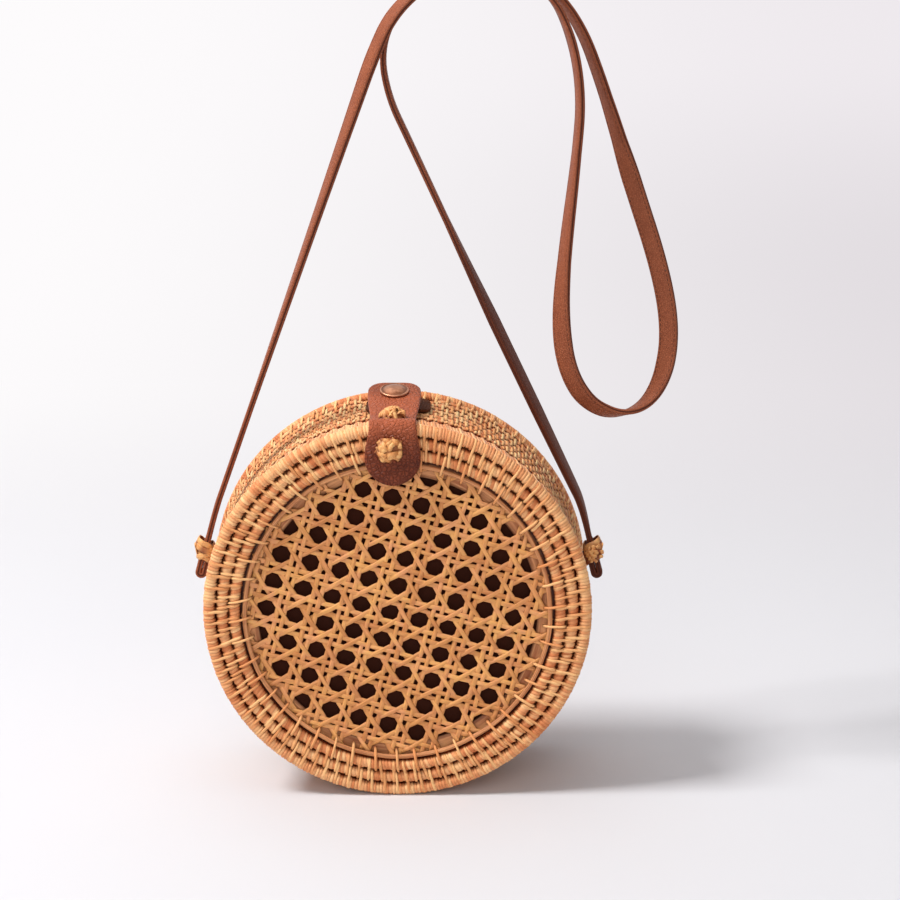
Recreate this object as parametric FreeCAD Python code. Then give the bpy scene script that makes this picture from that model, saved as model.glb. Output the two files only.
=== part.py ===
import FreeCAD, Part
import math
import os

# Round rattan crossbody bag, in millimetres. Two coil-woven halves with cane webbing faces are hinged at the
# bottom, shut by a leather tab with a press stud, and carried by a leather strap.
# The bag is laid out about its own centre: X to the right, Y from front to back, Z up. The finished solids
# are moved down by GRIP_HEIGHT, so that the origin is the point on the strap that the bag hangs from.

V = FreeCAD.Vector
ORIGIN = V(0, 0, 0)
X_AXIS = V(1, 0, 0)
Y_AXIS = V(0, 1, 0)
Z_AXIS = V(0, 0, 1)
FRONT = -1
REAR = 1

# Whole bag
BAG_DIAMETER = 200.0        # over the beads
BAG_DEPTH = 80.0            # from the front coils to the back coils
GRIP_HEIGHT = 310.0         # from the bag's centre up to the point that it hangs from
LID_DEPTH = 30.0            # from the front coils back to the mouth between the halves
MOUTH_GAP = 0.6             # between the two halves when shut
SEAT_GAP = 0.2              # between pieces of one half that lie on each other
OVERRUN = 4.0               # how far a cutting tool runs past what it cuts

# Coils
BEAD_RADIUS = 3.2           # wrapped coil at the edge of each face
FACE_ROWS = 2
FACE_ROW_WIDTH = 6.2
FACE_RING_THICKNESS = 6.5
WALL_STEP = 3.0             # how far the bead stands out past the wall
WALL_THICKNESS = 5.0
LID_WALL_ROWS = 4
REAR_WALL_ROWS = 7
ROW_BULGE = 1.9             # from the valley between two coils up to their crests

# Hoop, cane panel and lacing
PANEL_RECESS = 3.2          # from the crest of the coils in to the face of the panel
PANEL_THICKNESS = 1.6
PANEL_SEAT = 3.2            # how far the panel reaches behind the coils
HOOP_WIDTH = 2.7
HOOP_HEIGHT = 2.2
HOOP_CROWN = 1.0            # rounding of the hoop's front
INNER_HOOP_SHOW = 3.6       # how far the flat hoop behind the panel reaches in past the front one
CANE_PITCH_ACROSS = 15.5    # from hole to hole
CANE_PITCH_UP = 14.9
CANE_HOLE = 8.2             # across the flats of an octagon hole
CANE_MARGIN = 1.2           # least cane between a hole and the hoop
CANE_SHIFT_X = -3.9         # middle hole from the bag's axis
CANE_SHIFT_Z = -0.7
CANE_TURN = -16.0           # degrees, seen from the front
LACE_COUNT = 46
LACE_WIDTH = 1.3
LACE_THICKNESS = 0.7
LACE_REACH = 2.4            # how far a lace runs onto the panel

# Lining
LINING_THICKNESS = 0.8
LINING_SET_BACK = 1.0       # from the mouth to the lining's hem

# Leather tab
TAB_THICKNESS = 2.2
TAB_DROP = 31.3             # from the top of the bag down to the tab's lower end
TAB_LOBE = 14.2             # half width of the lower end, and its rounding
TAB_SHOULDER = 12.0         # half width where the tab bends over the bead
TAB_WAIST = 11.3            # half width at the waist
TAB_WAIST_BACK = 13.0       # from the front of the coils back to the waist
TAB_END = 13.8              # half width at the snap
TAB_END_PAST = 10.5         # from the snap to the rear end of the tab
TAB_FLEX_BACK = 23.0        # from the front of the coils to the line where the lifted tab bends
TAB_FLEX_GAP = 0.4
TAB_RAMP_SHORT = 10.0       # from the snap forward to where the tail has risen to the snap's height
TAB_CORNER = 8.0            # rounding of the rear end
TAB_BEND = 42.0             # degrees above level where the tab leaves the bead, from the bead's middle

# Press stud
SNAP_BACK = 19.0            # from the mouth back to the snap
PATCH_THICKNESS = 1.5
PATCH_HALF_WIDTH = 17.0
PATCH_FORE = 8.5            # from the snap forward to the patch's edge
PATCH_LENGTH = 26.0
STUD_FLANGE_RADIUS = 4.5
STUD_FLANGE = 0.8
STUD_NECK_RADIUS = 2.2
STUD_HEAD_RADIUS = 2.7
STUD_HEIGHT = 2.2           # from the patch to the top of the head
STUD_HEAD_HEIGHT = 0.9
SNAP_CLEARANCE = 0.3
SOCKET_RADIUS = 5.5
SOCKET_PLATE = 0.6
CAP_RADIUS = 7.6
CAP_EDGE = 0.6
CAP_HEIGHT = 2.6
CAP_POST_RADIUS = 1.8

# Raffia knots
KNOT_RADIUS = 6.6
KNOT_UPPER_RADIUS = 5.6
KNOT_HEIGHT = 5.0
SHANK_RADIUS = 1.4
SHANK_HOLE_RADIUS = 1.6
KNOT_LOWER_DROP = 13.2      # from the top of the bag to the lower knot
KNOT_UPPER_BACK = 15.5      # from the front of the coils back to the upper knot
PATCH_KNOT_RADIUS = 2.6
PATCH_KNOT_HEIGHT = 2.0
PATCH_KNOT_INSET = 3.5      # from the patch's rear end

# Strap
STRAP_WIDTH = 10.0
STRAP_THICKNESS = 3.0
STRAP_END_BOTTOM = 5.0      # lowest point of the folded ends, above the bag's centre
STRAP_END_TOP = 27.0        # where the free stretch begins
STRAP_END_FOLD = 6.4        # thickness of the folded end
STRAP_KNOT_Z = 19.0
STRAP_Y = 9.0               # middle of the strap's width at the knots
STRAP_ROUTE = [             # middle of the strap, from the left over the grip, round the loop to the right
    V(-96.5, 8.5, 42), V(-12, -6, 281), V(-2, -6, 303), V(18, -6, 320), V(50, -6, 324), V(76, -6, 315),
    V(88, -6, 291), V(93, -6, 262), V(91, -6, 232), V(85, -6, 178), V(83.5, -6, 146), V(87, -5, 121),
    V(97, -3, 103), V(112.5, 0, 95), V(128, 2, 99), V(138, 4, 115), V(141, 5, 140), V(135, 6, 172),
    V(119, 6, 219), V(104, 6, 266), V(92, 6, 297), V(75, 6, 317), V(48, 6, 325), V(18, 6, 320),
    V(0, 6, 303), V(-8, 6, 282), V(-4, 6.5, 259), V(34, 7, 177), V(97, 8.5, 44),
]
ARC_SHARE = 0.45            # of the shorter run, used up by the arc at each point

# Hinge at the bottom
HINGE_CORD_RADIUS = 0.6
HINGE_CLEARANCE = 0.25
HINGE_LOOP_WALL = 0.5
HINGE_LOOP_WIDTH = 5.0
HINGE_LOOP_GAP = 0.4
HINGE_LOOPS = 5             # rear and front loops by turns
HINGE_BAND_THICKNESS = 0.7
HINGE_BAND_LENGTH = 11.0
HINGE_KNOT_RADIUS = 1.3

# Worked out from the sizes above
BAG_RADIUS = BAG_DIAMETER / 2
FACE_DEPTH = BAG_DEPTH / 2
MOUTH_Y = LID_DEPTH - FACE_DEPTH
WALL_RADIUS = BAG_RADIUS - WALL_STEP
WALL_INSIDE = WALL_RADIUS - WALL_THICKNESS
BEAD_RING = BAG_RADIUS - BEAD_RADIUS
FACE_RING_OUTSIDE = BEAD_RING - BEAD_RADIUS - SEAT_GAP
FACE_RING_INSIDE = FACE_RING_OUTSIDE - FACE_ROWS * FACE_ROW_WIDTH
FACE_RING_BACK = FACE_DEPTH - FACE_RING_THICKNESS
PANEL_DEPTH = FACE_DEPTH - PANEL_RECESS
PANEL_RADIUS = FACE_RING_INSIDE + PANEL_SEAT
HOOP_OUTSIDE = FACE_RING_INSIDE - SEAT_GAP
HOOP_INSIDE = HOOP_OUTSIDE - HOOP_WIDTH
LINING_DEPTH = FACE_RING_BACK - SEAT_GAP
LINING_RADIUS = WALL_INSIDE - SEAT_GAP
SNAP_Y = MOUTH_Y + SNAP_BACK
PATCH_KNOT_Y = SNAP_Y - PATCH_FORE + PATCH_LENGTH - PATCH_KNOT_INSET
KNOT_UPPER_Y = -(FACE_DEPTH - KNOT_UPPER_BACK)
TAB_WAIST_Y = -(FACE_DEPTH - TAB_WAIST_BACK)
TAB_FLEX_Y = -(FACE_DEPTH - TAB_FLEX_BACK)
TAB_RAMP_Y = SNAP_Y - TAB_RAMP_SHORT
TAB_END_Y = SNAP_Y + TAB_END_PAST
TAB_ROOM = LACE_THICKNESS + 2 * SEAT_GAP        # under the tab on the face, where the laces lie
TAB_SEAT_Z = WALL_RADIUS + SEAT_GAP
PATCH_TOP = WALL_RADIUS + SEAT_GAP + PATCH_THICKNESS
STUD_TOP = PATCH_TOP + STUD_HEIGHT
TAIL_Z = STUD_TOP + SNAP_CLEARANCE + SOCKET_PLATE
HINGE_LOOP_RADIUS = HINGE_CORD_RADIUS + HINGE_CLEARANCE + HINGE_LOOP_WALL
HINGE_Z = -(WALL_RADIUS + HINGE_LOOP_RADIUS + SEAT_GAP)
STRAP_END_INSIDE = WALL_RADIUS + SEAT_GAP
STRAP_END_MIDDLE = STRAP_END_INSIDE + STRAP_END_FOLD / 2


def wire(points):
    """Closed wire of straight edges."""
    return Part.makePolygon(points + [points[0]])


def revolve(edges):
    """Ring from a closed profile drawn at z = 0, turned about the bag's axis."""
    return Part.Face(Part.Wire(edges)).revolve(ORIGIN, Y_AXIS, 360)


def line(a, b):
    return Part.makeLine(a, b)


def arc(a, middle, b):
    return Part.Arc(a, middle, b).toShape()


def turned(shape, degrees):
    """Copy of a shape, turned about the bag's axis."""
    copy = shape.copy()
    copy.rotate(ORIGIN, Y_AXIS, degrees)
    return copy


def cylinder(radius, height, base, axis):
    return Part.makeCylinder(radius, height, base, axis)


def coil_rows(start, end, crest, count):
    """Arcs of equal coils from start to end, each one bulging by the vector crest."""
    step = (end - start) / count
    rows = []
    for i in range(count):
        a = start + step * i
        rows.append(arc(a, a + step / 2 + crest, a + step))
    return rows


def bead(side, room=0):
    """Wrapped coil at the edge of a face, or with some room round it the space that it needs."""
    centre = V(0, side * (FACE_DEPTH - BEAD_RADIUS), 0)
    return Part.makeTorus(BEAD_RING, BEAD_RADIUS + room, centre, Y_AXIS)


def face_coils(side):
    """Flat ring of coil rows, rebated at the back for the panel."""
    valley = side * (FACE_DEPTH - ROW_BULGE)
    back = side * FACE_RING_BACK
    seat = side * PANEL_DEPTH
    inner = V(FACE_RING_INSIDE, valley, 0)
    outer = V(FACE_RING_OUTSIDE, valley, 0)
    rebate = PANEL_RADIUS + SEAT_GAP
    corners = [outer, V(FACE_RING_OUTSIDE, back, 0), V(rebate, back, 0), V(rebate, seat, 0),
               V(FACE_RING_INSIDE, seat, 0), inner]
    edges = coil_rows(inner, outer, V(0, side * ROW_BULGE, 0), FACE_ROWS)
    edges += [line(a, b) for a, b in zip(corners, corners[1:])]
    return revolve(edges)


def wall(side):
    """A half's part of the side wall: coil rows stacked from the mouth to the face."""
    valley = WALL_RADIUS - ROW_BULGE
    rows = LID_WALL_ROWS if side == FRONT else REAR_WALL_ROWS
    mouth = V(valley, MOUTH_Y + side * MOUTH_GAP / 2, 0)
    face = V(valley, side * FACE_RING_BACK, 0)
    corners = [face, V(WALL_INSIDE, face.y, 0), V(WALL_INSIDE, mouth.y, 0), mouth]
    edges = coil_rows(mouth, face, V(ROW_BULGE, 0, 0), rows)
    edges += [line(a, b) for a, b in zip(corners, corners[1:])]
    ring = revolve(edges)
    return ring.cut(bead(side, SEAT_GAP))


def hoop(side):
    """Plain hoop on the edge of the panel, with a rounded front."""
    low = side * PANEL_DEPTH
    shoulder = side * (PANEL_DEPTH + HOOP_HEIGHT - HOOP_CROWN)
    top = side * (PANEL_DEPTH + HOOP_HEIGHT)
    a = V(HOOP_INSIDE, shoulder, 0)
    b = V(HOOP_OUTSIDE, shoulder, 0)
    crown = arc(a, V((HOOP_INSIDE + HOOP_OUTSIDE) / 2, top, 0), b)
    corners = [b, V(HOOP_OUTSIDE, low, 0), V(HOOP_INSIDE, low, 0), a]
    return revolve([crown] + [line(p, q) for p, q in zip(corners, corners[1:])])


def inner_hoop(side):
    """Flat hoop that backs the edge of the panel, between it and the lining."""
    front = side * (PANEL_DEPTH - PANEL_THICKNESS - SEAT_GAP)
    back = side * FACE_RING_BACK
    inside = HOOP_INSIDE - INNER_HOOP_SHOW
    corners = [V(inside, back, 0), V(inside, front, 0), V(PANEL_RADIUS, front, 0), V(PANEL_RADIUS, back, 0)]
    return revolve([line(a, b) for a, b in zip(corners, corners[1:] + corners[:1])])


def cane_panel(side):
    """Disc of cane webbing: one face with octagon holes on a slanted lattice, pushed to its thickness."""
    y = side * PANEL_DEPTH
    corner_radius = CANE_HOLE / 2 / math.cos(math.pi / 8)
    turn = math.radians(CANE_TURN)
    across = V(math.cos(turn), 0, math.sin(turn)) * CANE_PITCH_ACROSS
    up = V(-math.sin(turn), 0, math.cos(turn)) * CANE_PITCH_UP
    middle = V(CANE_SHIFT_X, 0, CANE_SHIFT_Z)
    room = HOOP_INSIDE - CANE_MARGIN - corner_radius
    span = int(room / min(CANE_PITCH_ACROSS, CANE_PITCH_UP)) + 1
    wires = [Part.Wire(Part.makeCircle(PANEL_RADIUS, V(0, y, 0), Y_AXIS))]
    for i in range(-span, span + 1):
        for k in range(-span, span + 1):
            centre = middle + across * i + up * k
            if centre.Length > room:
                continue
            corners = []
            for n in range(8):
                angle = turn + math.pi / 8 + n * math.pi / 4
                corners.append(centre + V(math.cos(angle), 0, math.sin(angle)) * corner_radius + V(0, y, 0))
            wires.append(wire(corners))
    print("holes in the cane panel:", len(wires) - 1)
    return Part.makeFace(wires, "Part::FaceMakerBullseye").extrude(V(0, -side * PANEL_THICKNESS, 0))


def lacing(side):
    """Cane stitches from the inner coil over the hoop to the panel, spaced evenly round the ring."""
    row = (FACE_RING_OUTSIDE - FACE_RING_INSIDE) / FACE_ROWS
    hoop_top = PANEL_DEPTH + HOOP_HEIGHT
    under = [
        (FACE_RING_INSIDE + row / 2, FACE_DEPTH + SEAT_GAP),
        ((HOOP_INSIDE + HOOP_OUTSIDE) / 2, hoop_top + SEAT_GAP),
        (HOOP_INSIDE - SEAT_GAP, hoop_top + SEAT_GAP - HOOP_CROWN / 2),
        (HOOP_INSIDE - LACE_REACH, PANEL_DEPTH + SEAT_GAP),
    ]
    over = [(r, d + LACE_THICKNESS) for r, d in reversed(under)]
    corners = [V(r, side * d, -LACE_WIDTH / 2) for r, d in under + over]
    lace = Part.Face(wire(corners)).extrude(V(0, 0, LACE_WIDTH))
    return Part.makeCompound([turned(lace, 360 * i / LACE_COUNT) for i in range(LACE_COUNT)])


def lining(side):
    """Cloth cup inside a half: a disc behind the panel and a sleeve along the wall."""
    inner = LINING_RADIUS - LINING_THICKNESS
    floor_front = side * LINING_DEPTH
    floor_back = side * (LINING_DEPTH - LINING_THICKNESS)
    hem = MOUTH_Y + side * (MOUTH_GAP / 2 + LINING_SET_BACK)
    corners = [V(0, floor_front, 0), V(LINING_RADIUS, floor_front, 0), V(LINING_RADIUS, hem, 0),
               V(inner, hem, 0), V(inner, floor_back, 0), V(0, floor_back, 0)]
    return revolve([line(a, b) for a, b in zip(corners, corners[1:] + corners[:1])])


def dome(radius, height, edge=0):
    """Part of a ball, standing on a round plate as thick as edge, with its base at the origin."""
    ball = (radius ** 2 + height ** 2) / (2 * height)
    half_turn = math.atan2(radius, ball - height) / 2
    top = V(0, 0, edge + height)
    knee = V(ball * math.sin(half_turn), 0, top.z - ball * (1 - math.cos(half_turn)))
    corners = [top, ORIGIN, V(radius, 0, 0)]
    if edge > 0:
        corners.append(V(radius, 0, edge))
    edges = [line(a, b) for a, b in zip(corners, corners[1:])]
    edges.append(arc(corners[-1], knee, top))
    return Part.Face(Part.Wire(edges)).revolve(ORIGIN, Z_AXIS, 360)


def knot(radius, height, base, out, shank):
    """Raffia knot: a dome on its seat, with a shank that goes in through what it ties."""
    head = dome(radius, height)
    head.Placement = FreeCAD.Placement(base, FreeCAD.Rotation(Z_AXIS, out))
    return head.fuse(cylinder(SHANK_RADIUS, shank, base - out * shank, out)).removeSplitter()


def tab_face_outline():
    """Tab seen from the front: rounded lower lobe, drawn in towards the bead."""
    lobe_z = BAG_RADIUS - TAB_DROP + TAB_LOBE
    top = BAG_RADIUS + TAB_THICKNESS + OVERRUN
    shoulder_z = BAG_RADIUS - BEAD_RADIUS
    left = V(-TAB_LOBE, 0, lobe_z)
    right = V(TAB_LOBE, 0, lobe_z)
    corners = [right, V(TAB_SHOULDER, 0, shoulder_z), V(TAB_SHOULDER, 0, top), V(-TAB_SHOULDER, 0, top),
               V(-TAB_SHOULDER, 0, shoulder_z), left]
    edges = [arc(left, V(0, 0, lobe_z - TAB_LOBE), right)]
    edges += [line(a, b) for a, b in zip(corners, corners[1:])]
    face = Part.Face(Part.Wire(edges))
    face.translate(V(0, -(FACE_DEPTH + TAB_THICKNESS + OVERRUN), 0))
    return face.extrude(V(0, BEAD_RADIUS + TAB_THICKNESS + OVERRUN, 0))


def tab_top_outline():
    """Tab seen from above: waist behind the bead, then wider to the rounded rear end."""
    front = -(FACE_DEPTH - BEAD_RADIUS)
    inset = TAB_CORNER * (1 - math.cos(math.pi / 4))
    half = [V(TAB_SHOULDER, front, 0), V(TAB_WAIST, TAB_WAIST_Y, 0), V(TAB_END, SNAP_Y, 0),
            V(TAB_END, TAB_END_Y - TAB_CORNER, 0)]
    tip = V(TAB_END - TAB_CORNER, TAB_END_Y, 0)
    knee = V(TAB_END - inset, TAB_END_Y - inset, 0)
    edges = []
    for mirror in (1, -1):
        flip = [V(mirror * p.x, p.y, 0) for p in half + [knee, tip]]
        edges += [line(a, b) for a, b in zip(flip[:3], flip[1:4])]
        edges.append(arc(flip[3], flip[4], flip[5]))
    edges.append(line(tip, V(-tip.x, tip.y, 0)))
    edges.append(line(half[0], V(-half[0].x, half[0].y, 0)))
    face = Part.Face(Part.Wire(Part.__sortEdges__(edges)))
    face.translate(V(0, 0, BAG_RADIUS - OVERRUN - WALL_STEP))
    return face.extrude(V(0, 0, TAIL_Z + TAB_THICKNESS + OVERRUN - BAG_RADIUS + OVERRUN + WALL_STEP))


def tab_strip(edges):
    """Leather strip whose side profile is given at x = 0, as wide as the widest outline."""
    face = Part.Face(Part.Wire(Part.__sortEdges__(edges)))
    half = TAB_LOBE + TAB_END
    face.translate(V(-half, 0, 0))
    return face.extrude(V(2 * half, 0, 0))


def tab_base():
    """Leather from the lower lobe up the face, over the bead and down onto the wall, to the flex line."""
    bead_y = -(FACE_DEPTH - BEAD_RADIUS)
    bead_z = BAG_RADIUS - BEAD_RADIUS
    bend = math.radians(TAB_BEND)
    low_z = BAG_RADIUS - TAB_DROP - OVERRUN
    end_y = TAB_FLEX_Y - TAB_THICKNESS / 2 - TAB_FLEX_GAP
    edges = []
    ends = []
    inner = BEAD_RADIUS + TAB_ROOM
    for radius in (inner, inner + TAB_THICKNESS):
        floor_z = TAB_SEAT_Z + radius - inner
        foot = V(0, bead_y - radius, low_z)
        spring = V(0, bead_y - radius, bead_z)
        crown = V(0, bead_y, bead_z + radius)
        leave = V(0, bead_y + radius * math.cos(bend), bead_z + radius * math.sin(bend))
        land = V(0, leave.y + (leave.z - floor_z) * math.tan(bend), floor_z)
        end = V(0, end_y, floor_z)
        edges += [line(foot, spring), arc(spring, crown, leave), line(leave, land), line(land, end)]
        ends.append((foot, end))
    edges.append(line(ends[0][0], ends[1][0]))
    edges.append(line(ends[0][1], ends[1][1]))
    strip = tab_strip(edges)
    solid = strip.common(tab_face_outline()).fuse(strip.common(tab_top_outline())).removeSplitter()
    return solid.cut(front_shank_holes())


def tab_tail():
    """Free end of the tab: rounded at the flex line, rising to the snap, then level."""
    half = TAB_THICKNESS / 2
    axis_z = TAB_SEAT_Z + half
    root_low = V(0, TAB_FLEX_Y, axis_z - half)
    root_high = V(0, TAB_FLEX_Y, axis_z + half)
    round_end = arc(root_low, V(0, TAB_FLEX_Y - half, axis_z), root_high)
    level = [V(0, TAB_RAMP_Y, TAIL_Z), V(0, TAB_END_Y + OVERRUN, TAIL_Z)]
    raised = [p + V(0, 0, TAB_THICKNESS) for p in level]
    chain = [root_low] + level + raised[::-1] + [root_high]
    strip = tab_strip([round_end] + [line(a, b) for a, b in zip(chain, chain[1:])])
    post_hole = cylinder(CAP_POST_RADIUS + SEAT_GAP, BAG_RADIUS, V(0, SNAP_Y, WALL_RADIUS), Z_AXIS)
    return strip.common(tab_top_outline()).cut(post_hole)


def snap_cap():
    """Domed cap on the tab, with the post that goes through the leather to the socket."""
    cap = dome(CAP_RADIUS, CAP_HEIGHT - CAP_EDGE, CAP_EDGE)
    cap = cap.fuse(cylinder(CAP_POST_RADIUS, TAB_THICKNESS, V(0, 0, -TAB_THICKNESS), Z_AXIS)).removeSplitter()
    cap.translate(V(0, SNAP_Y, TAIL_Z + TAB_THICKNESS))
    return cap


def snap_socket():
    """Spring socket: a plate with a ring under it that is open to the back, where the stud slips out."""
    low = PATCH_TOP + STUD_FLANGE + SNAP_CLEARANCE
    room = STUD_HEAD_RADIUS + SNAP_CLEARANCE
    ring = cylinder(SOCKET_RADIUS, TAIL_Z - low, V(0, SNAP_Y, low), Z_AXIS)
    depth = TAIL_Z - SOCKET_PLATE - low
    pocket = cylinder(room, depth, V(0, SNAP_Y, low), Z_AXIS)
    slot = Part.makeBox(2 * room, SOCKET_RADIUS + OVERRUN, depth, V(-room, SNAP_Y, low))
    return ring.cut(pocket.fuse(slot))


def snap_stud():
    """Press stud: a flange on the patch, a neck and a wider head."""
    flange = cylinder(STUD_FLANGE_RADIUS, STUD_FLANGE, ORIGIN, Z_AXIS)
    neck = cylinder(STUD_NECK_RADIUS, STUD_HEIGHT, ORIGIN, Z_AXIS)
    head = cylinder(STUD_HEAD_RADIUS, STUD_HEAD_HEIGHT, V(0, 0, STUD_HEIGHT - STUD_HEAD_HEIGHT), Z_AXIS)
    stud = flange.fuse(neck).fuse(head).removeSplitter()
    stud.translate(V(0, SNAP_Y, PATCH_TOP))
    return stud


def snap_patch():
    """Leather patch that follows the round of the wall under the tab's end."""
    low = WALL_RADIUS + SEAT_GAP
    half_turn = math.degrees(math.asin(PATCH_HALF_WIDTH / PATCH_TOP))
    start = V(low, SNAP_Y - PATCH_FORE, 0)
    across = V(PATCH_THICKNESS, 0, 0)
    along = V(0, PATCH_LENGTH, 0)
    face = Part.Face(wire([start, start + across, start + across + along, start + along]))
    patch = turned(face.revolve(ORIGIN, Y_AXIS, 2 * half_turn), -90 - half_turn)
    return patch.cut(patch_shank_hole())


def strap_end(hand):
    """Folded end of the strap: two layers with a round fold at the bottom, tied on by the knot."""
    fold = STRAP_END_FOLD / 2
    low = V(STRAP_END_MIDDLE - fold, 0, STRAP_END_BOTTOM + fold)
    high = V(STRAP_END_MIDDLE + fold, 0, STRAP_END_BOTTOM + fold)
    top_in = V(low.x, 0, STRAP_END_TOP)
    top_out = V(high.x, 0, STRAP_END_TOP)
    edges = [arc(low, V(STRAP_END_MIDDLE, 0, STRAP_END_BOTTOM), high), line(high, top_out),
             line(top_out, top_in), line(top_in, low)]
    face = Part.Face(Part.Wire(edges))
    face.translate(V(0, STRAP_Y - STRAP_WIDTH / 2, 0))
    solid = face.extrude(V(0, STRAP_WIDTH, 0))
    solid = solid.cut(cylinder(SHANK_HOLE_RADIUS, BAG_RADIUS, V(WALL_INSIDE, STRAP_Y, STRAP_KNOT_Z), X_AXIS))
    return solid if hand > 0 else solid.mirror(ORIGIN, X_AXIS)


def strap_knot(hand):
    seat = STRAP_END_INSIDE + STRAP_END_FOLD
    base = V(hand * seat, STRAP_Y, STRAP_KNOT_Z)
    return knot(KNOT_RADIUS, KNOT_HEIGHT, base, X_AXIS * hand, seat - WALL_INSIDE)


def shoulder_strap():
    """Flat strap swept along straight runs that are joined by tangent arcs, its width kept along Y."""
    ends = [V(hand * STRAP_END_MIDDLE, STRAP_Y, STRAP_END_TOP) for hand in (-1, 1)]
    route = [ends[0]] + STRAP_ROUTE + [ends[1]]
    edges = []
    radii = []
    here = route[0]
    for before, corner, after in zip(route, route[1:], route[2:]):
        inward = (corner - before).normalize()
        outward = (after - corner).normalize()
        half_turn = inward.getAngle(outward) / 2
        cut = ARC_SHARE * min(before.distanceToPoint(corner), corner.distanceToPoint(after))
        radius = cut / math.tan(half_turn)
        radii.append(round(radius))
        start = corner - inward * cut
        end = corner + outward * cut
        to_centre = (outward - inward).normalize()
        middle = corner + to_centre * (radius / math.cos(half_turn) - radius)
        edges += [line(here, start), arc(start, middle, end)]
        here = end
    edges.append(line(here, route[-1]))
    spine = Part.Wire(edges)
    along = (route[1] - route[0]).normalize()
    across = along.cross(Y_AXIS).normalize() * (STRAP_THICKNESS / 2)
    wide = across.cross(along).normalize() * (STRAP_WIDTH / 2)
    corners = [across + wide, across - wide, -across - wide, -across + wide]
    section = wire([route[0] + corner for corner in corners])
    shell = Part.BRepOffsetAPI.MakePipeShell(spine)
    shell.setBiNormalMode(Y_AXIS)
    shell.add(section)
    shell.build()
    shell.makeSolid()
    strap = Part.Solid(shell.shape())
    plain = STRAP_WIDTH * STRAP_THICKNESS * spine.Length
    print("strap length:", round(spine.Length), "arc radii:", radii)
    print("strap volume over its section times its length:", round(strap.Volume / plain, 4))
    return strap


def hinge_starts():
    """Left end of each hinge loop, and the half that it is tied to."""
    pitch = HINGE_LOOP_WIDTH + HINGE_LOOP_GAP
    first = -(HINGE_LOOPS * pitch - HINGE_LOOP_GAP) / 2
    return [(first + i * pitch, REAR if i % 2 == 0 else FRONT) for i in range(HINGE_LOOPS)]


def hinge_loops(side):
    """Raffia loops of one half round the hinge cord, each with a band that runs back along the wall."""
    loops = []
    for x, owner in hinge_starts():
        if owner != side:
            continue
        ring = cylinder(HINGE_LOOP_RADIUS, HINGE_LOOP_WIDTH, V(x, MOUTH_Y, HINGE_Z), X_AXIS)
        band_y = MOUTH_Y if side == REAR else MOUTH_Y - HINGE_BAND_LENGTH
        band_z = HINGE_Z + HINGE_LOOP_RADIUS - HINGE_BAND_THICKNESS
        corner = V(x, band_y, band_z)
        band = Part.makeBox(HINGE_LOOP_WIDTH, HINGE_BAND_LENGTH, HINGE_BAND_THICKNESS, corner)
        bore = cylinder(HINGE_CORD_RADIUS + HINGE_CLEARANCE, HINGE_LOOP_WIDTH, V(x, MOUTH_Y, HINGE_Z), X_AXIS)
        loops.append(ring.fuse(band).cut(bore).removeSplitter())
    return Part.makeCompound(loops)


def hinge_cord():
    """Cord through the hinge loops, knotted at both ends."""
    reach = -hinge_starts()[0][0] + HINGE_LOOP_GAP + HINGE_KNOT_RADIUS
    cord = cylinder(HINGE_CORD_RADIUS, 2 * reach, V(-reach, MOUTH_Y, HINGE_Z), X_AXIS)
    for end in (-reach, reach):
        cord = cord.fuse(Part.makeSphere(HINGE_KNOT_RADIUS, V(end, MOUTH_Y, HINGE_Z)))
    return cord.removeSplitter()


def front_shank_holes():
    """Holes for the shanks of the two knots on the tab, through leather and coils."""
    drop = BAG_RADIUS - KNOT_LOWER_DROP
    lower = cylinder(SHANK_HOLE_RADIUS, BAG_DEPTH, V(0, MOUTH_Y - BAG_DEPTH, drop), Y_AXIS)
    upper = cylinder(SHANK_HOLE_RADIUS, BAG_RADIUS, V(0, KNOT_UPPER_Y, WALL_INSIDE - OVERRUN), Z_AXIS)
    return Part.makeCompound([lower, upper])


def patch_shank_hole():
    return cylinder(SHANK_HOLE_RADIUS, BAG_RADIUS, V(0, PATCH_KNOT_Y, WALL_INSIDE - OVERRUN), Z_AXIS)


def strap_shank_hole():
    """One hole from side to side, for the shanks of both strap knots."""
    return cylinder(SHANK_HOLE_RADIUS, 2 * BAG_DIAMETER, V(-BAG_DIAMETER, STRAP_Y, STRAP_KNOT_Z), X_AXIS)


def tab_knots():
    """Lower and upper knot on the tab."""
    face = FACE_DEPTH + TAB_ROOM + TAB_THICKNESS
    top = TAB_SEAT_Z + TAB_THICKNESS
    low_seat = V(0, -face, BAG_RADIUS - KNOT_LOWER_DROP)
    lower = knot(KNOT_RADIUS, KNOT_HEIGHT, low_seat, -Y_AXIS, face - FACE_RING_BACK)
    upper = knot(KNOT_UPPER_RADIUS, KNOT_HEIGHT, V(0, KNOT_UPPER_Y, top), Z_AXIS, top - WALL_INSIDE)
    return lower, upper


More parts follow.
